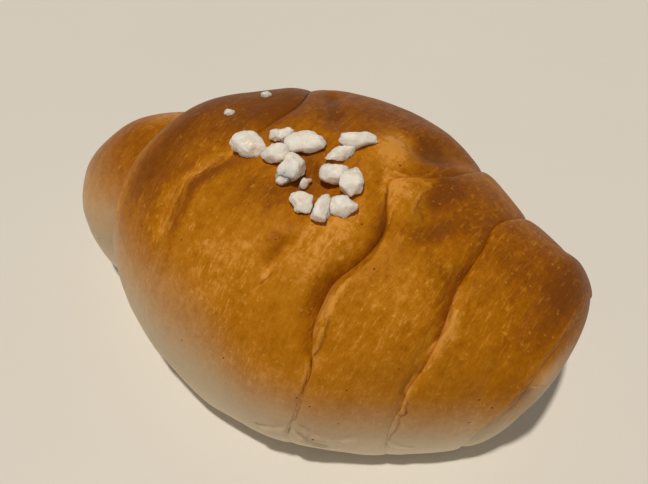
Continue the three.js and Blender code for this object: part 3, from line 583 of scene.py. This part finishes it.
def closed_curve(pairs):
    """A smooth closed curve through (degrees, value) pairs, as a function of the angle."""
    angles = np.array([angle for angle, _ in pairs]) * DEGREE
    values = np.array([value for _, value in pairs], float)
    count = len(pairs)
    turn = 2 * math.pi
    at = np.concatenate([[angles[-1] - turn], angles, [angles[0] + turn, angles[1] + turn]])
    value = np.concatenate([[values[-1]], values, [values[0], values[1]]])
    slope = np.zeros(len(at))
    slope[1:-1] = (value[2:] - value[:-2]) / (at[2:] - at[:-2])
    slope[0] = slope[count]
    slope[-1] = slope[2]

    def curve(theta):
        angle = np.mod(theta - angles[0], turn) + angles[0]
        i = np.clip(np.searchsorted(at, angle, side="right") - 1, 1, count)
        step = at[i + 1] - at[i]
        t = (angle - at[i]) / step
        return (value[i] * (1 + 2 * t) * (1 - t) ** 2 + value[i + 1] * t * t * (3 - 2 * t)
                + step * t * (1 - t) * (slope[i] * (1 - t) - slope[i + 1] * t))
    return curve


def near_path(u, v, path):
    """Signed distance from a path, and the share of it at which its nearest point is."""
    nearest = np.full(u.shape, np.inf)
    signed, along = np.zeros(u.shape), np.zeros(u.shape)
    for i, ((u0, v0), (u1, v1)) in enumerate(zip(path, path[1:])):
        du, dv = u1 - u0, v1 - v0
        t = clamp(((u - u0) * du + (v - v0) * dv) / (du * du + dv * dv))
        distance = np.hypot(u - u0 - t * du, v - v0 - t * dv)
        closer = distance < nearest
        nearest = np.where(closer, distance, nearest)
        signed = np.where(closer, np.copysign(distance, du * (v - v0) - dv * (u - u0)), signed)
        along = np.where(closer, (i + t) / (len(path) - 1), along)
    return signed, along


def seeded_random(seed):
    state = seed
    while True:
        state = (state * RANDOM_STEP) % RANDOM_LIMIT
        yield state / RANDOM_LIMIT


def lattice_noise(points, cell, seed):
    """Smooth noise between -1 and 1 over points, with one random value for each cell corner."""
    scaled = points / cell
    base = np.floor(scaled).astype(np.int64)
    t = scaled - base
    t = t * t * (3 - 2 * t)
    total = np.zeros(len(points))
    for corner in np.ndindex(2, 2, 2):
        mixed = np.bitwise_xor.reduce((base + corner) * NOISE_STEPS, axis=1) ^ (seed * NOISE_SEED_STEP)
        mixed = (mixed ^ (mixed >> NOISE_SHIFTS[0])) * NOISE_MIXER
        mixed = (mixed ^ (mixed >> NOISE_SHIFTS[1])) & NOISE_MASK
        weight = np.prod(np.where(corner, t, 1 - t), axis=1)
        total += weight * (mixed / (NOISE_MASK / 2) - 1)
    return total


def layered_noise(points, layers):
    return sum(size * lattice_noise(points, cell, seed) for cell, size, seed in layers)


# ---------------------------------------------------------------- form of the crust

def wander(theta, phase, size):
    """A small uneven wave round a crease, so that no crease is a clean curve."""
    return size * sum(share * np.sin(turns * theta + shift * phase) for turns, shift, share in WANDER_WAVES)


def axis_side(x):
    """Sideways place of the roll's own axis."""
    out = np.abs(x) / BODY_REACH
    right = RIGHT_BEND * smooth(*BEND_SPAN, out)
    left = LEFT_BEND * smooth(*BEND_SPAN, out) + LOBE_BEND * smooth(*LOBE_BEND_SPAN, out)
    return np.where(x > 0, right, left)


def section(x, half_width, top, waist, underside, theta):
    c, s = np.cos(theta), np.sin(theta)
    power = 2 / np.where(c > 0, CROWN_ROUNDNESS, UNDERSIDE_ROUNDNESS)
    rise = np.where(c > 0, top - waist, underside)
    y = axis_side(x) + half_width * np.sign(s) * np.abs(s) ** power
    z = waist + rise * np.sign(c) * np.abs(c) ** power
    return np.stack([x + 0 * y, y, z], -1)


def body_outline(sizes, x, theta):
    """The wrapped body as if it had no creases."""
    swell = np.maximum(np.cos(0.5 * math.pi * clamp(np.abs(x - SWELL_MIDDLE) / SWELL_REACH)), 0)
    outward = clamp((np.abs(x) - CAP_START) / (BODY_REACH - CAP_START))
    cap = (1 - outward ** CAP_FULLNESS) ** (1 / CAP_ROUNDNESS)
    half_width = END_HALF_WIDTH + (sizes.middle_half_width / MM - END_HALF_WIDTH) * swell
    top = END_HEIGHT + (sizes.middle_height / MM - END_HEIGHT) * swell ** HEIGHT_FALL
    waist = END_WAIST + (MIDDLE_WAIST - END_WAIST) * swell
    underside = WAIST_TO_UNDERSIDE * (END_UNDERSIDE + (1 - END_UNDERSIDE) * swell) * cap
    points = section(x, half_width * cap, waist + (top - waist) * cap, waist, underside, theta)
    points[..., 2] += RIGHT_END_LIFT * smooth(*LIFT_SPAN, x / BODY_REACH)
    points[..., 0] -= (RIGHT_END_UNDERCUT * smooth(*UNDERCUT_SPAN, x / BODY_REACH)
                       * smooth(*UNDERCUT_HEIGHTS, points[..., 2]))
    return points


def lobe_outline(sizes, x, theta):
    outward = clamp((LOBE_CAP_START + x) / (LOBE_CAP_START + LEFT_END))
    cap = np.sqrt(1 - outward ** 2)
    top = LOBE_WAIST + (sizes.lobe_height / MM - LOBE_WAIST) * cap
    return section(x, sizes.lobe_half_width / MM * cap, top, LOBE_WAIST, LOBE_TO_UNDERSIDE * cap, theta)


def away_from_axis(points):
    out = np.stack([np.zeros(points.shape[:-1]), points[..., 1] - axis_side(points[..., 0]),
                    points[..., 2] - AXIS_HEIGHT], -1)
    return out / (np.linalg.norm(out, axis=-1, keepdims=True) + TINY)


def outline_of(sizes, band, x, theta):
    return lobe_outline(sizes, x, theta) if band == LOBE else body_outline(sizes, x, theta)


def crease_ring(sizes, index, theta):
    crease = CREASES[index]
    x = closed_curve(crease["place"])(theta) + wander(theta, index + 1, crease["wander"])
    points = outline_of(sizes, index, x, theta)
    depth = closed_curve(crease["depth"])(theta)
    return points - away_from_axis(points) * depth[..., None]


def band_points(sizes, index, share, theta):
    """The points of a band, and their distances to its left and right creases."""
    band = BANDS[index]
    before = crease_ring(sizes, index - 1, theta) if band["left"] else None
    after = crease_ring(sizes, index, theta) if band["right"] else None
    start = before[..., 0] if band["left"] else np.full(theta.shape, LEFT_END)
    end = after[..., 0] if band["right"] else np.full(theta.shape, RIGHT_END)
    x = start + (end - start) * share
    outline = outline_of(sizes, index, x, theta)
    points = outline.copy()
    for rim, crease, distance, side in ((band["left"], before, x - start, -1),
                                        (band["right"], after, end - x, 1)):
        if rim:
            width, full, roundness, lean = rim
            t = clamp(distance / np.minimum(width, WIDEST_RIM * (end - start)))
            risen = (1 - (1 - t) ** full) ** (1 / roundness)
            points += (1 - risen)[..., None] * (crease - outline)
            points[..., 0] += side * lean * 4 * risen * (1 - risen)
    return points, x - start, end - x


def pit_share(x, y):
    """1 in the ragged pit under the salt, falling to 0 outside it."""
    u, v = x - PIT_AT[0], y - PIT_AT[1]
    angle = np.arctan2(v, u)
    ragged = 1 + sum(share * np.sin(turns * angle + shift) for turns, shift, share in PIT_EDGE)
    return np.exp(-(oval(u, v, PIT_REACH, 0) ** PIT_STEEPNESS) / ragged ** PIT_EDGE_POWER)


def relief_height(points, theta):
    x, y = points[..., 0], points[..., 1]
    crown = PIT_HEIGHT * pit_share(x, y)
    for at, reach, turn, steepness, size in ROUNDS:
        crown += size * np.exp(-(oval(x - at[0], y - at[1], reach, turn) ** steepness))
    for path, width, size in FOLDS:
        distance, along = near_path(x, y, path)
        crown += size * bell(distance / width) * tapered(along, FOLD_TAPER)
    waves = sum(size * np.sin(along * x + shift) * np.sin(turns * theta + phase)
                for along, shift, turns, phase, size in WAVES)
    return waves + smooth(*CROWN_HEIGHTS, points[..., 2]) * crown


def band_columns(index, count):
    """Shares of a band's length where its columns stand, closest together at its creases."""
    t = np.arange(count) / count
    if index == LOBE:
        return 1 - np.cos(0.5 * math.pi * t)
    if index == CORE:
        return np.sin(0.5 * math.pi * t)
    return 0.5 - 0.5 * np.cos(math.pi * t)


def row_angles(rows):
    under = round(rows * UNDER_SHARE)
    over = np.linspace(-BASE_ANGLE, BASE_ANGLE, rows - under, endpoint=False)
    base = np.linspace(BASE_ANGLE, 360 - BASE_ANGLE, under, endpoint=False)
    return np.concatenate([over, base]) * DEGREE


def shape_crust(sizes):
    """The crust as a grid of points, with what its finish needs to know of each."""
    angles = row_angles(sizes.rows)
    core_inset = closed_curve(CORE_INSET)
    bands = []
    for index, band in enumerate(BANDS):
        columns = round(sizes.columns * band["share"])
        share, theta = np.meshgrid(band_columns(index, columns), angles, indexing="ij")
        points, left, right = band_points(sizes, index, share, theta)
        relief = relief_height(points, theta)
        if index == LOBE:
            relief *= smooth(*LOBE_RELIEF, share)
        if index == CORE:
            inset = core_inset(theta) * smooth(*CORE_INSET_START, share) * smooth(*CORE_INSET_END, share)
            relief = relief * smooth(*CORE_RELIEF, share) - inset
        points += away_from_axis(points) * relief[..., None]
        bands.append((points, theta, left, right, np.full(theta.shape, index)))
    # The very first column is a single point, and the left tip stands in for it.
    return [np.concatenate(parts)[1:] for parts in zip(*bands)]


# ---------------------------------------------------------------- bake of the crust, with painted shade and light

def patch_share(x, theta, at, angle, along, across, turn):
    return np.exp(-oval(x - at, (theta / DEGREE - angle) * ARC, (along, across), turn))


def near_line(x, theta, line):
    """near_path over the crust, for a line of (place along the roll, angle)."""
    return near_path(x, theta / DEGREE * ARC, [(at, angle * ARC) for at, angle in line])


def tears(x, theta):
    """The nearest tear's signed distance, its darkness as painted crack shade, its lip's lightness (partly a
    painted highlight) and its height.
    """
    nearest = np.full(x.shape, np.inf)
    side, dark, light, height = (np.zeros(x.shape) for _ in range(4))
    flat = np.stack([x, theta / DEGREE * ARC, np.zeros(x.shape)], -1).reshape(-1, 3)
    ragged = layered_noise(flat, RAGGEDNESS).reshape(x.shape)
    for path, width, crack_shade_strength, lightness, lip in TEARS:
        signed, along = near_line(x, theta, path)
        signed = signed / width + ragged
        closer = np.abs(signed) < nearest
        nearest = np.where(closer, np.abs(signed), nearest)
        here = tapered(along, TEAR_TAPER) * smooth(*TEAR_REACH, np.abs(signed))
        here *= clamp(TEAR_GAPS[0] - TEAR_GAPS[1] * ragged)
        side = np.where(closer, signed, side)
        dark = np.where(closer, crack_shade_strength * here, dark)
        light = np.where(closer, lightness * here, light)
        profile = sum(share * bell((signed - middle) / half) for middle, half, share in TEAR_PROFILE)
        height = np.where(closer, lip * here * profile, height)
    for at, angle, radius, size in BLISTERS:
        share = patch_share(x, theta, at, angle, radius, radius, 0)
        side = np.where(share > BLISTER_EDGE, LIP_SIDE, side)
        light = np.maximum(light, share)
        height += size * share
    return side, dark, light, height


def browning_and_shade(x, theta, to_left, to_right, band):
    """How brown the crust is at a point, from its band, its creases' stripes, its patches and its fold
    lines, with the painted shade and light that these put in.
    """
    by_band = np.stack([closed_curve(curve)(theta) for curve in BAND_BROWNING])

    def of_band(index):
        return np.take_along_axis(by_band, np.clip(index, LOBE, CORE)[None], 0)[0]

    own = of_band(band)
    baked = own + 0.5 * smooth(BAND_BLEND, 0, to_right) * (of_band(band + 1) - own) * (band > LOBE)
    baked += 0.5 * smooth(BAND_BLEND, 0, to_left) * (of_band(band - 1) - own) * (band > LOBE + 1)
    # Darker stripes on the crease flanks are partly painted shade, lighter ones partly painted light.
    for crease, at, width, curve in CREASE_STRIPES_AND_SHADE:
        distance = np.where(band == crease, -to_right, np.where(band == crease + 1, to_left, np.inf))
        baked += closed_curve(curve)(theta) * bell((distance - at) / width)
    # Patches add browning, and in places a painted highlight or painted shade.
    for *patch, amount in BAKE_LIGHT_AND_SHADE_PATCHES:
        baked += amount * patch_share(x, theta, *patch)
    # Painted shade and painted light along the folds and lips.
    for path, width, amount in FOLD_SHADE_AND_LIGHT_LINES:
        distance, along = near_line(x, theta, path)
        baked += amount * bell(distance / width) * tapered(along, FOLD_SHADE_TAPER)
    return baked


def over_pale_line(x, z, theta):
    """0 on the pale side low on the roll and 1 on its baked crust."""
    over = (z - np.interp(x, *np.transpose(PALE_LINE))) / PALE_BLEND + 0.5
    for *patch, amount in PALE_PATCHES:
        over -= amount * patch_share(x, theta, *patch)
    return clamp(over)


# ---------------------------------------------------------------- meshes

def new_piece(name, vertices, faces, material):
    mesh = bpy.data.meshes.new(name)
    mesh.from_pydata(vertices.tolist(), [], faces)
    mesh.validate()
    mesh.polygons.foreach_set("use_smooth", np.ones(len(mesh.polygons), bool))
    mesh.update()
    mesh.materials.append(material)
    piece = bpy.data.objects.new(name, mesh)
    bpy.context.scene.collection.objects.link(piece)
    return piece


def write_attribute(piece, name, kind, field, values, tips):
    """Keep a value for each point of the grid and, after them, for the two tips."""
    every = np.concatenate([values.ravel(), np.ravel(tips)])
    attribute = piece.data.attributes.new(name, kind, "POINT")
    attribute.data.foreach_set(field, every.astype(np.float32))


def grid_faces(columns, rows, first_tip, last_tip):
    faces = []
    for row in range(rows):
        after = (row + 1) % rows
        faces.append((first_tip, row, after))
        last = (columns - 1) * rows
        faces.append((last_tip, last + after, last + row))
        faces.extend((c * rows + row, (c + 1) * rows + row, (c + 1) * rows + after, c * rows + after)
                     for c in range(columns - 1))
    return faces


# ---------------------------------------------------------------- finishes

class Finish:
    """One material's node tree, built a node at a time."""

    def __init__(self, name):
        self.material = bpy.data.materials.new(name)
        self.material.use_nodes = True
        self.tree = self.material.node_tree
        self.inputs = self.tree.nodes["Principled BSDF"].inputs
        self.place = self.add("TexCoord").outputs["Object"]

    def add(self, kind, inputs=None, **settings):
        node = self.tree.nodes.new("ShaderNode" + kind)
        for key, value in settings.items():
            setattr(node, key, value)
        for key, value in (inputs or {}).items():
            self.connect(value, node.inputs[key])
        return node

    def connect(self, value, socket):
        if isinstance(value, bpy.types.NodeSocket):
            self.tree.links.new(value, socket)
        else:
            socket.default_value = value

    def attribute(self, name, output="Fac"):
        return self.add("Attribute", attribute_name=name, attribute_type="GEOMETRY").outputs[output]

    def maths(self, operation, *values):
        return self.add("Math", dict(enumerate(values)), operation=operation).outputs[0]

    def times(self, a, b):
        return self.maths("MULTIPLY", a, b)

    def scaled(self, value, by, plus):
        return self.maths("MULTIPLY_ADD", value, by, plus)

    def centred(self, noise, size):
        """A noise between 0 and 1, brought to lie evenly on both sides of 0."""
        return self.scaled(noise, size, -size / 2)

    def noise(self, place, repeats, detail, roughness):
        inputs = {"Vector": place, "Scale": repeats, "Detail": detail, "Roughness": roughness}
        return self.add("TexNoise", inputs).outputs["Fac"]

    def cells(self, repeats):
        """Distance from the middle of each cell, and a random number of its own."""
        node = self.add("TexVoronoi", {"Vector": self.place, "Scale": repeats}, feature="F1")
        colour_parts = self.add("SeparateColor", {"Color": node.outputs["Color"]})
        return node.outputs["Distance"], colour_parts.outputs["Red"]

    def ramp(self, value, low, high):
        """0 below low, 1 above high, and smooth between them."""
        node = self.add("MapRange", {"Value": value, "From Min": low, "From Max": high},
                        interpolation_type="SMOOTHSTEP")
        return node.outputs["Result"]

    def stops(self, value, colours):
        """A colour that goes through the given ones at even steps of the value."""
        node = self.add("ValToRGB", {"Fac": value})
        places = node.color_ramp.elements
        while len(places) < len(colours):
            places.new(0.5)
        for i, (place, shade) in enumerate(zip(places, colours)):
            place.position = i / (len(colours) - 1)
            place.color = opaque(shade)
        return node.outputs["Color"]

    def mix(self, share, first, second):
        """First where the share is 0, second where it is 1; the sockets are a colour mix's own."""
        return self.add("Mix", {0: share, 6: first, 7: second}, data_type="RGBA").outputs[2]

    def bump(self, height, distance, strength, normal=None):
        inputs = {"Height": height, "Distance": distance, "Strength": strength}
        if normal is not None:
            inputs["Normal"] = normal
        return self.add("Bump", inputs).outputs["Normal"]


def opaque(value):
    return (*value, 1.0)


def crust_finish(colours):
    finish = Finish("baked_crust")
    wound = finish.attribute("wound_place", "Vector")
    # Browning, with the painted shade and light that is put into it
    baked = finish.attribute("browning_and_shade")
    over_table = finish.add("SeparateXYZ", {"Vector": finish.place}).outputs["Z"]
    # The skin is streaked along its winding and mottled, about as much at every size.
    patches = finish.noise(finish.place, *PATCHY)
    streaks = finish.noise(wound, *STREAKY)
    mottle = finish.noise(finish.place, *MOTTLED)
    scratches = finish.noise(wound, *SCRATCHED)
    uneven = finish.centred(patches, PATCHES_BROWN)
    uneven = finish.maths("ADD", uneven, finish.centred(streaks, STREAKS_BROWN))
    uneven = finish.maths("ADD", uneven, finish.centred(mottle, MOTTLE_BROWN))
    # Fine light flecks, partly painted glints
    flecks_and_glints = finish.times(finish.ramp(scratches, *FLECK_SCRATCHES), finish.ramp(patches, *FLECK_PATCHES))
    uneven = finish.maths("SUBTRACT", uneven, finish.times(flecks_and_glints, FLECK_PALES))
    uneven = finish.times(uneven, finish.scaled(baked, *BROWNED_EVENS))
    uneven = finish.times(uneven, finish.scaled(finish.ramp(over_table, *UNEVEN_OVER_TABLE), *LOW_UNEVEN))
    side = finish.maths("ADD", finish.attribute("tear_side"), finish.centred(mottle, SIDE_SWAY))
    # A lip's lightness is partly paler stretched crust and partly a painted highlight on its ridge.
    lip = finish.times(finish.ramp(side, *LIP_OUTSIDE), finish.ramp(side, *LIP_INSIDE))
    lip = finish.times(finish.times(lip, finish.attribute("lip_light")), finish.ramp(streaks, *LIP_STREAKS))
    baked = finish.maths("SUBTRACT", finish.maths("ADD", baked, uneven), finish.times(lip, LIP_PALES))
    crust = finish.stops(baked, [colours.yellow, colours.amber, colours.golden, colours.brown, colours.dark])
    low = finish.ramp(over_table, *PALEST_OVER_TABLE)
    dough = finish.mix(low, opaque(colours.pale), opaque(colours.palest))
    shore = finish.maths("ADD", finish.attribute("over_pale_line"), finish.times(uneven, SHORE_SWAY))
    base = finish.mix(finish.ramp(shore, 1, 0), crust, dough)
    off_middle, chosen = finish.cells(SPOTS)
    dots = finish.times(finish.ramp(off_middle, *DOT_EDGE), finish.ramp(chosen, *DOTS_CHOSEN))
    # Holes of the skin, painted dark as painted shade
    shaded_holes = finish.times(finish.ramp(off_middle, *HOLE_EDGE), finish.ramp(chosen, *HOLES_CHOSEN))
    # Painted shade in the tears' cracks
    crack_shade_mask = finish.times(finish.ramp(side, *TEAR_START), finish.ramp(side, *TEAR_END))
    crack_shade_mask = finish.times(crack_shade_mask, finish.attribute("crack_shade_share"))
    for share, tint, shade in ((flecks_and_glints, FLECK_TINT, colours.pale_fleck_and_glint), (dots, DOT_TINT, colours.pale_fleck_and_glint),
                               (lip, LIP_TINT, colours.pale_fleck_and_glint), (crack_shade_mask, TEAR_TINT, colours.crack_shade),
                               (shaded_holes, 1, colours.crack_shade)):
        base = finish.mix(finish.times(share, tint), base, opaque(shade))
    finish.connect(base, finish.inputs["Base Color"])
    finish.connect(finish.scaled(mottle, *CRUST_SHEEN), finish.inputs["Roughness"])
    finish.inputs["IOR"].default_value = CRUST_IOR
    finish.inputs["Specular Tint"].default_value = CRUST_GLOSS_TINT
    normal = None
    for height, size in ((mottle, MOTTLE_BUMP), (streaks, STREAK_BUMP), (scratches, SCRATCH_BUMP),
                         (dots, DOT_BUMP)):
        normal = finish.bump(height, *size, normal)
    finish.connect(normal, finish.inputs["Normal"])
    return finish.material


def salt_finish(colours):
    finish = Finish("salt")
    clouds = finish.noise(finish.place, *CLOUDED)
    off_middle, glint = finish.cells(SALT_FACETS)
    base = finish.mix(finish.ramp(clouds, *SALT_CLOUDS), opaque(colours.white), opaque(colours.cloudy))
    finish.connect(base, finish.inputs["Base Color"])
    finish.connect(finish.scaled(finish.ramp(glint, *GLINTS), *SALT_SHEEN), finish.inputs["Roughness"])
    finish.inputs["Subsurface Weight"].default_value = SALT_GLOW
    finish.inputs["Subsurface Radius"].default_value = SALT_GLOW_TINT
    finish.inputs["Subsurface Scale"].default_value = SALT_GLOW_REACH
    normal = finish.bump(clouds, *CLOUD_BUMP)
    normal = finish.bump(off_middle, *FACET_BUMP, normal)
    normal = finish.bump(finish.noise(finish.place, *GRAINY), *GRAIN_BUMP, normal)
    finish.connect(normal, finish.inputs["Normal"])
    return finish.material


def floor_finish(value):
    finish = Finish("table_top")
    clouds = finish.noise(finish.place, *TABLE_CLOUDS)
    dull = tuple(TABLE_DULL * part for part in value)
    finish.connect(finish.mix(clouds, opaque(value), opaque(dull)), finish.inputs["Base Color"])
    finish.connect(finish.scaled(clouds, *TABLE_SHEEN), finish.inputs["Roughness"])
    return finish.material


# ---------------------------------------------------------------- pieces

class ROLL_OT_make_crust(Operator):
    """Shape the wound crust with its creases, folds and pit, and bake it brown, with painted shade and light
    """
    bl_idname = "roll.make_crust"
    bl_label = "Make crust"

    def execute(self, context):
        sizes = context.scene.roll_sizes
        points, theta, to_left, to_right, band = shape_crust(sizes)
        theta = np.mod(theta + math.pi, 2 * math.pi) - math.pi
        x = points[..., 0]
        # dark is painted shade in the cracks; light is partly paler crust and partly painted highlight
        side, dark, light, height = tears(x, theta)
        flat = (points + away_from_axis(points) * height[..., None]).reshape(-1, 3)
        skin = layered_noise(flat, SKIN_LAYERS) * sizes.skin_relief / MM
        flat = flat + away_from_axis(flat) * skin[:, None]
        left_tip = lobe_outline(sizes, np.array(LEFT_END), np.array(0.0))
        right_tip = body_outline(sizes, np.array(RIGHT_END), np.array(0.0))
        vertices = np.concatenate([flat, left_tip[None], right_tip[None]])
        vertices[:, 2] = np.maximum(vertices[:, 2], 0)
        middle = (vertices.min(0) + vertices.max(0)) / 2
        shift = np.array([-middle[0], -middle[1], 0])
        placed = (vertices + shift) * MM
        # The finished crust stays inside the box that the plain solids fill.
        placed[:, :2] *= np.minimum(np.array(CAD_HIGH)[:2] / placed[:, :2].max(0), 1)
        faces = grid_faces(*theta.shape, theta.size, theta.size + 1)
        crust = new_piece("crust", placed, faces, crust_finish(context.scene.crust_colours))
        crust["shift"] = shift.tolist()
        # The browning written here holds painted shade and light as well as the bake.
        for name, values in (("browning_and_shade", browning_and_shade(x, theta, to_left, to_right, band)),
                             ("over_pale_line", over_pale_line(x, points[..., 2], theta)),
                             ("tear_side", side), ("crack_shade_share", dark), ("lip_light", light)):
            write_attribute(crust, name, "FLOAT", "value", values, [values[0].mean(), values[-1].mean()])
        step = np.linalg.norm(np.diff(points, axis=1, prepend=points[:, -1:]), axis=-1)
        around = np.cumsum(step, axis=1)
        wound = np.stack([x, STREAK_SHARE * around, 0 * around], -1) * MM
        write_attribute(crust, "wound_place", "FLOAT_VECTOR", "vector", wound, wound[[0, -1], 0])
        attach(crust, "root")
        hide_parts(BREAD)
        return {"FINISHED"}


def lump(detail, at, size, turn, thin, seed):
    """A ball cut by seeded planes and stretched to its size, as vertices and faces."""
    random = seeded_random(seed)
    normals, distances = [], []
    for i in range(CRYSTAL_FACETS):
        z = 1 - 2 * (i + 0.5) / CRYSTAL_FACETS + FACET_HEIGHT_SWAY * (next(random) - 0.5)
        angle = i * FACET_TURN + FACET_TURN_SWAY * (next(random) - 0.5)
        across = math.sqrt(max(1 - z * z, 0))
        normals.append((across * math.cos(angle), across * math.sin(angle), z))
        distances.append(FACET_NEAREST + FACET_SPREAD * next(random))
    bpy.ops.mesh.primitive_ico_sphere_add(subdivisions=detail, radius=1)
    ball = bpy.context.object
    directions = np.array([v.co[:] for v in ball.data.vertices])
    directions /= np.linalg.norm(directions, axis=1, keepdims=True)
    faces = np.array([p.vertices[:] for p in ball.data.polygons])
    bpy.data.meshes.remove(ball.data)
    facing = directions @ np.array(normals).T
    pull = np.maximum(facing, 0) / np.array(distances)
    radius = (1 + (pull ** CRYSTAL_SHARPNESS).sum(1)) ** (-1 / CRYSTAL_SHARPNESS)
    points = directions * radius[:, None]
    girth = 1 - thin * points[:, :1]
    points = points * np.concatenate([np.ones_like(girth), girth, girth], 1) * np.array(size) / 2
    rough = layered_noise(points + seed, [(cell, rise, seed) for cell, rise in CRYSTAL_ROUGHNESS])
    points += directions * rough[:, None]
    c, s = math.cos(turn * DEGREE), math.sin(turn * DEGREE)
    turned = np.stack([points[:, 0] * c - points[:, 1] * s, points[:, 0] * s + points[:, 1] * c,
                       points[:, 2]], 1)
    return turned + np.array(at), faces


class ROLL_OT_scatter_salt(Operator):
    """Lay the coarse salt crystals and the small chips on the crown"""
    bl_idname = "roll.scatter_salt"
    bl_label = "Scatter salt"

    def execute(self, context):
        crust = bpy.data.objects["crust"]
        tree = BVHTree.FromPolygons([v.co for v in crust.data.vertices],
                                    [p.vertices for p in crust.data.polygons])
        detail = context.scene.roll_sizes.lump_detail
        material = salt_finish(context.scene.salt_colours)
        heaps = [(node.replace("salt", "coarse_salt"), lumps, detail, node)
                 for node, lumps in zip(SALT_NODES, CRYSTALS)]
        for name, lumps, fineness, node in (*heaps, ("salt_chips", CHIPS, detail - 1, BREAD)):
            placed, faces = self.seat(lumps, fineness, crust["shift"], tree)
            piece = new_piece(name, placed, faces, material)
            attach(piece, "root")
            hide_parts(node)
        return {"FINISHED"}

    def seat(self, lumps, detail, shift, tree):
        """Lumps at their places on the crust, as vertices in metres and faces."""
        vertices, faces = [], []
        for (x, y), over, *form in lumps:
            x, y = x + shift[0], y + shift[1]
            hit = tree.ray_cast(Vector((x * MM, y * MM, 2 * CAD_HIGH.z)), Vector((0, 0, -1)))
            points, triangles = lump(detail, (x, y, hit[0].z / MM + over), *form)
            faces.append(triangles + sum(len(part) for part in vertices))
            vertices.append(points)
        placed = np.concatenate(vertices) * MM
        placed[:, 2] = np.minimum(placed[:, 2], CAD_HIGH.z)
        return placed, np.concatenate(faces).tolist()


# ---------------------------------------------------------------- stage

class ROLL_OT_set_stage(Operator):
    """Put down the table top, the lights and the camera"""
    bl_idname = "roll.set_stage"
    bl_label = "Set stage"

    def execute(self, context):
        stage = context.scene.roll_stage
        self.make_floor(stage)
        self.hang_lamp(context.scene, stage)
        self.light_room(context.scene, stage)
        self.place_camera(context.scene, stage)
        context.scene.view_settings.view_transform = "Standard"
        return {"FINISHED"}

    def make_floor(self, stage):
        corners = np.array([(-1, -1, 0), (1, -1, 0), (1, 1, 0), (-1, 1, 0)]) * FLOOR_REACH
        new_piece("floor", corners, [(0, 1, 2, 3)], floor_finish(stage.floor))

    def hang_lamp(self, scene, stage):
        data = bpy.data.lights.new("lamp", "SUN")
        data.energy = stage.lamp_strength
        data.angle = stage.lamp_softness
        data.color = stage.lamp_colour
        lamp = bpy.data.objects.new("lamp", data)
        lamp.rotation_euler = Vector(stage.lamp_from).to_track_quat("Z", "Y").to_euler()
        scene.collection.objects.link(lamp)

    def light_room(self, scene, stage):
        world = bpy.data.worlds.new("room")
        world.use_nodes = True
        background = world.node_tree.nodes["Background"]
        background.inputs["Color"].default_value = opaque(stage.room_colour)
        background.inputs["Strength"].default_value = stage.room_strength
        scene.world = world

    def place_camera(self, scene, stage):
        data = bpy.data.cameras.new("camera")
        data.lens = stage.lens
        data.sensor_width = FRAME_WIDTH
        data.clip_start = NEAREST_SEEN
        camera = bpy.data.objects.new("camera", data)
        level = math.cos(stage.elevation)
        back = Vector((math.sin(stage.azimuth) * level, -math.cos(stage.azimuth) * level,
                       math.sin(stage.elevation)))
        camera.location = Vector(stage.aim) + back * stage.distance
        camera.rotation_euler = (Quaternion(back, stage.tilt) @ back.to_track_quat("Z", "Y")).to_euler()
        scene.collection.objects.link(camera)
        scene.camera = camera


# ---------------------------------------------------------------- panel and registration

class ROLL_PT_bakery(Panel):
    bl_idname = "ROLL_PT_bakery"
    bl_label = "Salt bread roll"
    bl_space_type = "VIEW_3D"
    bl_region_type = "UI"
    bl_category = "Bakery"

    def draw(self, context):
        scene = context.scene
        for group in (scene.roll_sizes, scene.crust_colours, scene.salt_colours, scene.roll_stage):
            box = self.layout.box()
            for name in group.__annotations__:
                box.prop(group, name)
        for operator in PIECES:
            self.layout.operator(operator.bl_idname)


PIECES = (ROLL_OT_make_crust, ROLL_OT_scatter_salt, ROLL_OT_set_stage)
CLASSES = (RollSizes, CrustColours, SaltColours, StageSettings, *PIECES, ROLL_PT_bakery)


def register():
    for cls in CLASSES:
        bpy.utils.register_class(cls)
    bpy.types.Scene.roll_sizes = PointerProperty(type=RollSizes)
    bpy.types.Scene.crust_colours = PointerProperty(type=CrustColours)
    bpy.types.Scene.salt_colours = PointerProperty(type=SaltColours)
    bpy.types.Scene.roll_stage = PointerProperty(type=StageSettings)


def unregister():
    for name in ("roll_sizes", "crust_colours", "salt_colours", "roll_stage"):
        delattr(bpy.types.Scene, name)
    for cls in reversed(CLASSES):
        bpy.utils.unregister_class(cls)


def main():
    register()
    bpy.ops.roll.make_crust()
    bpy.ops.roll.scatter_salt()
    bpy.ops.roll.set_stage()


if __name__ == "__main__":
    main()
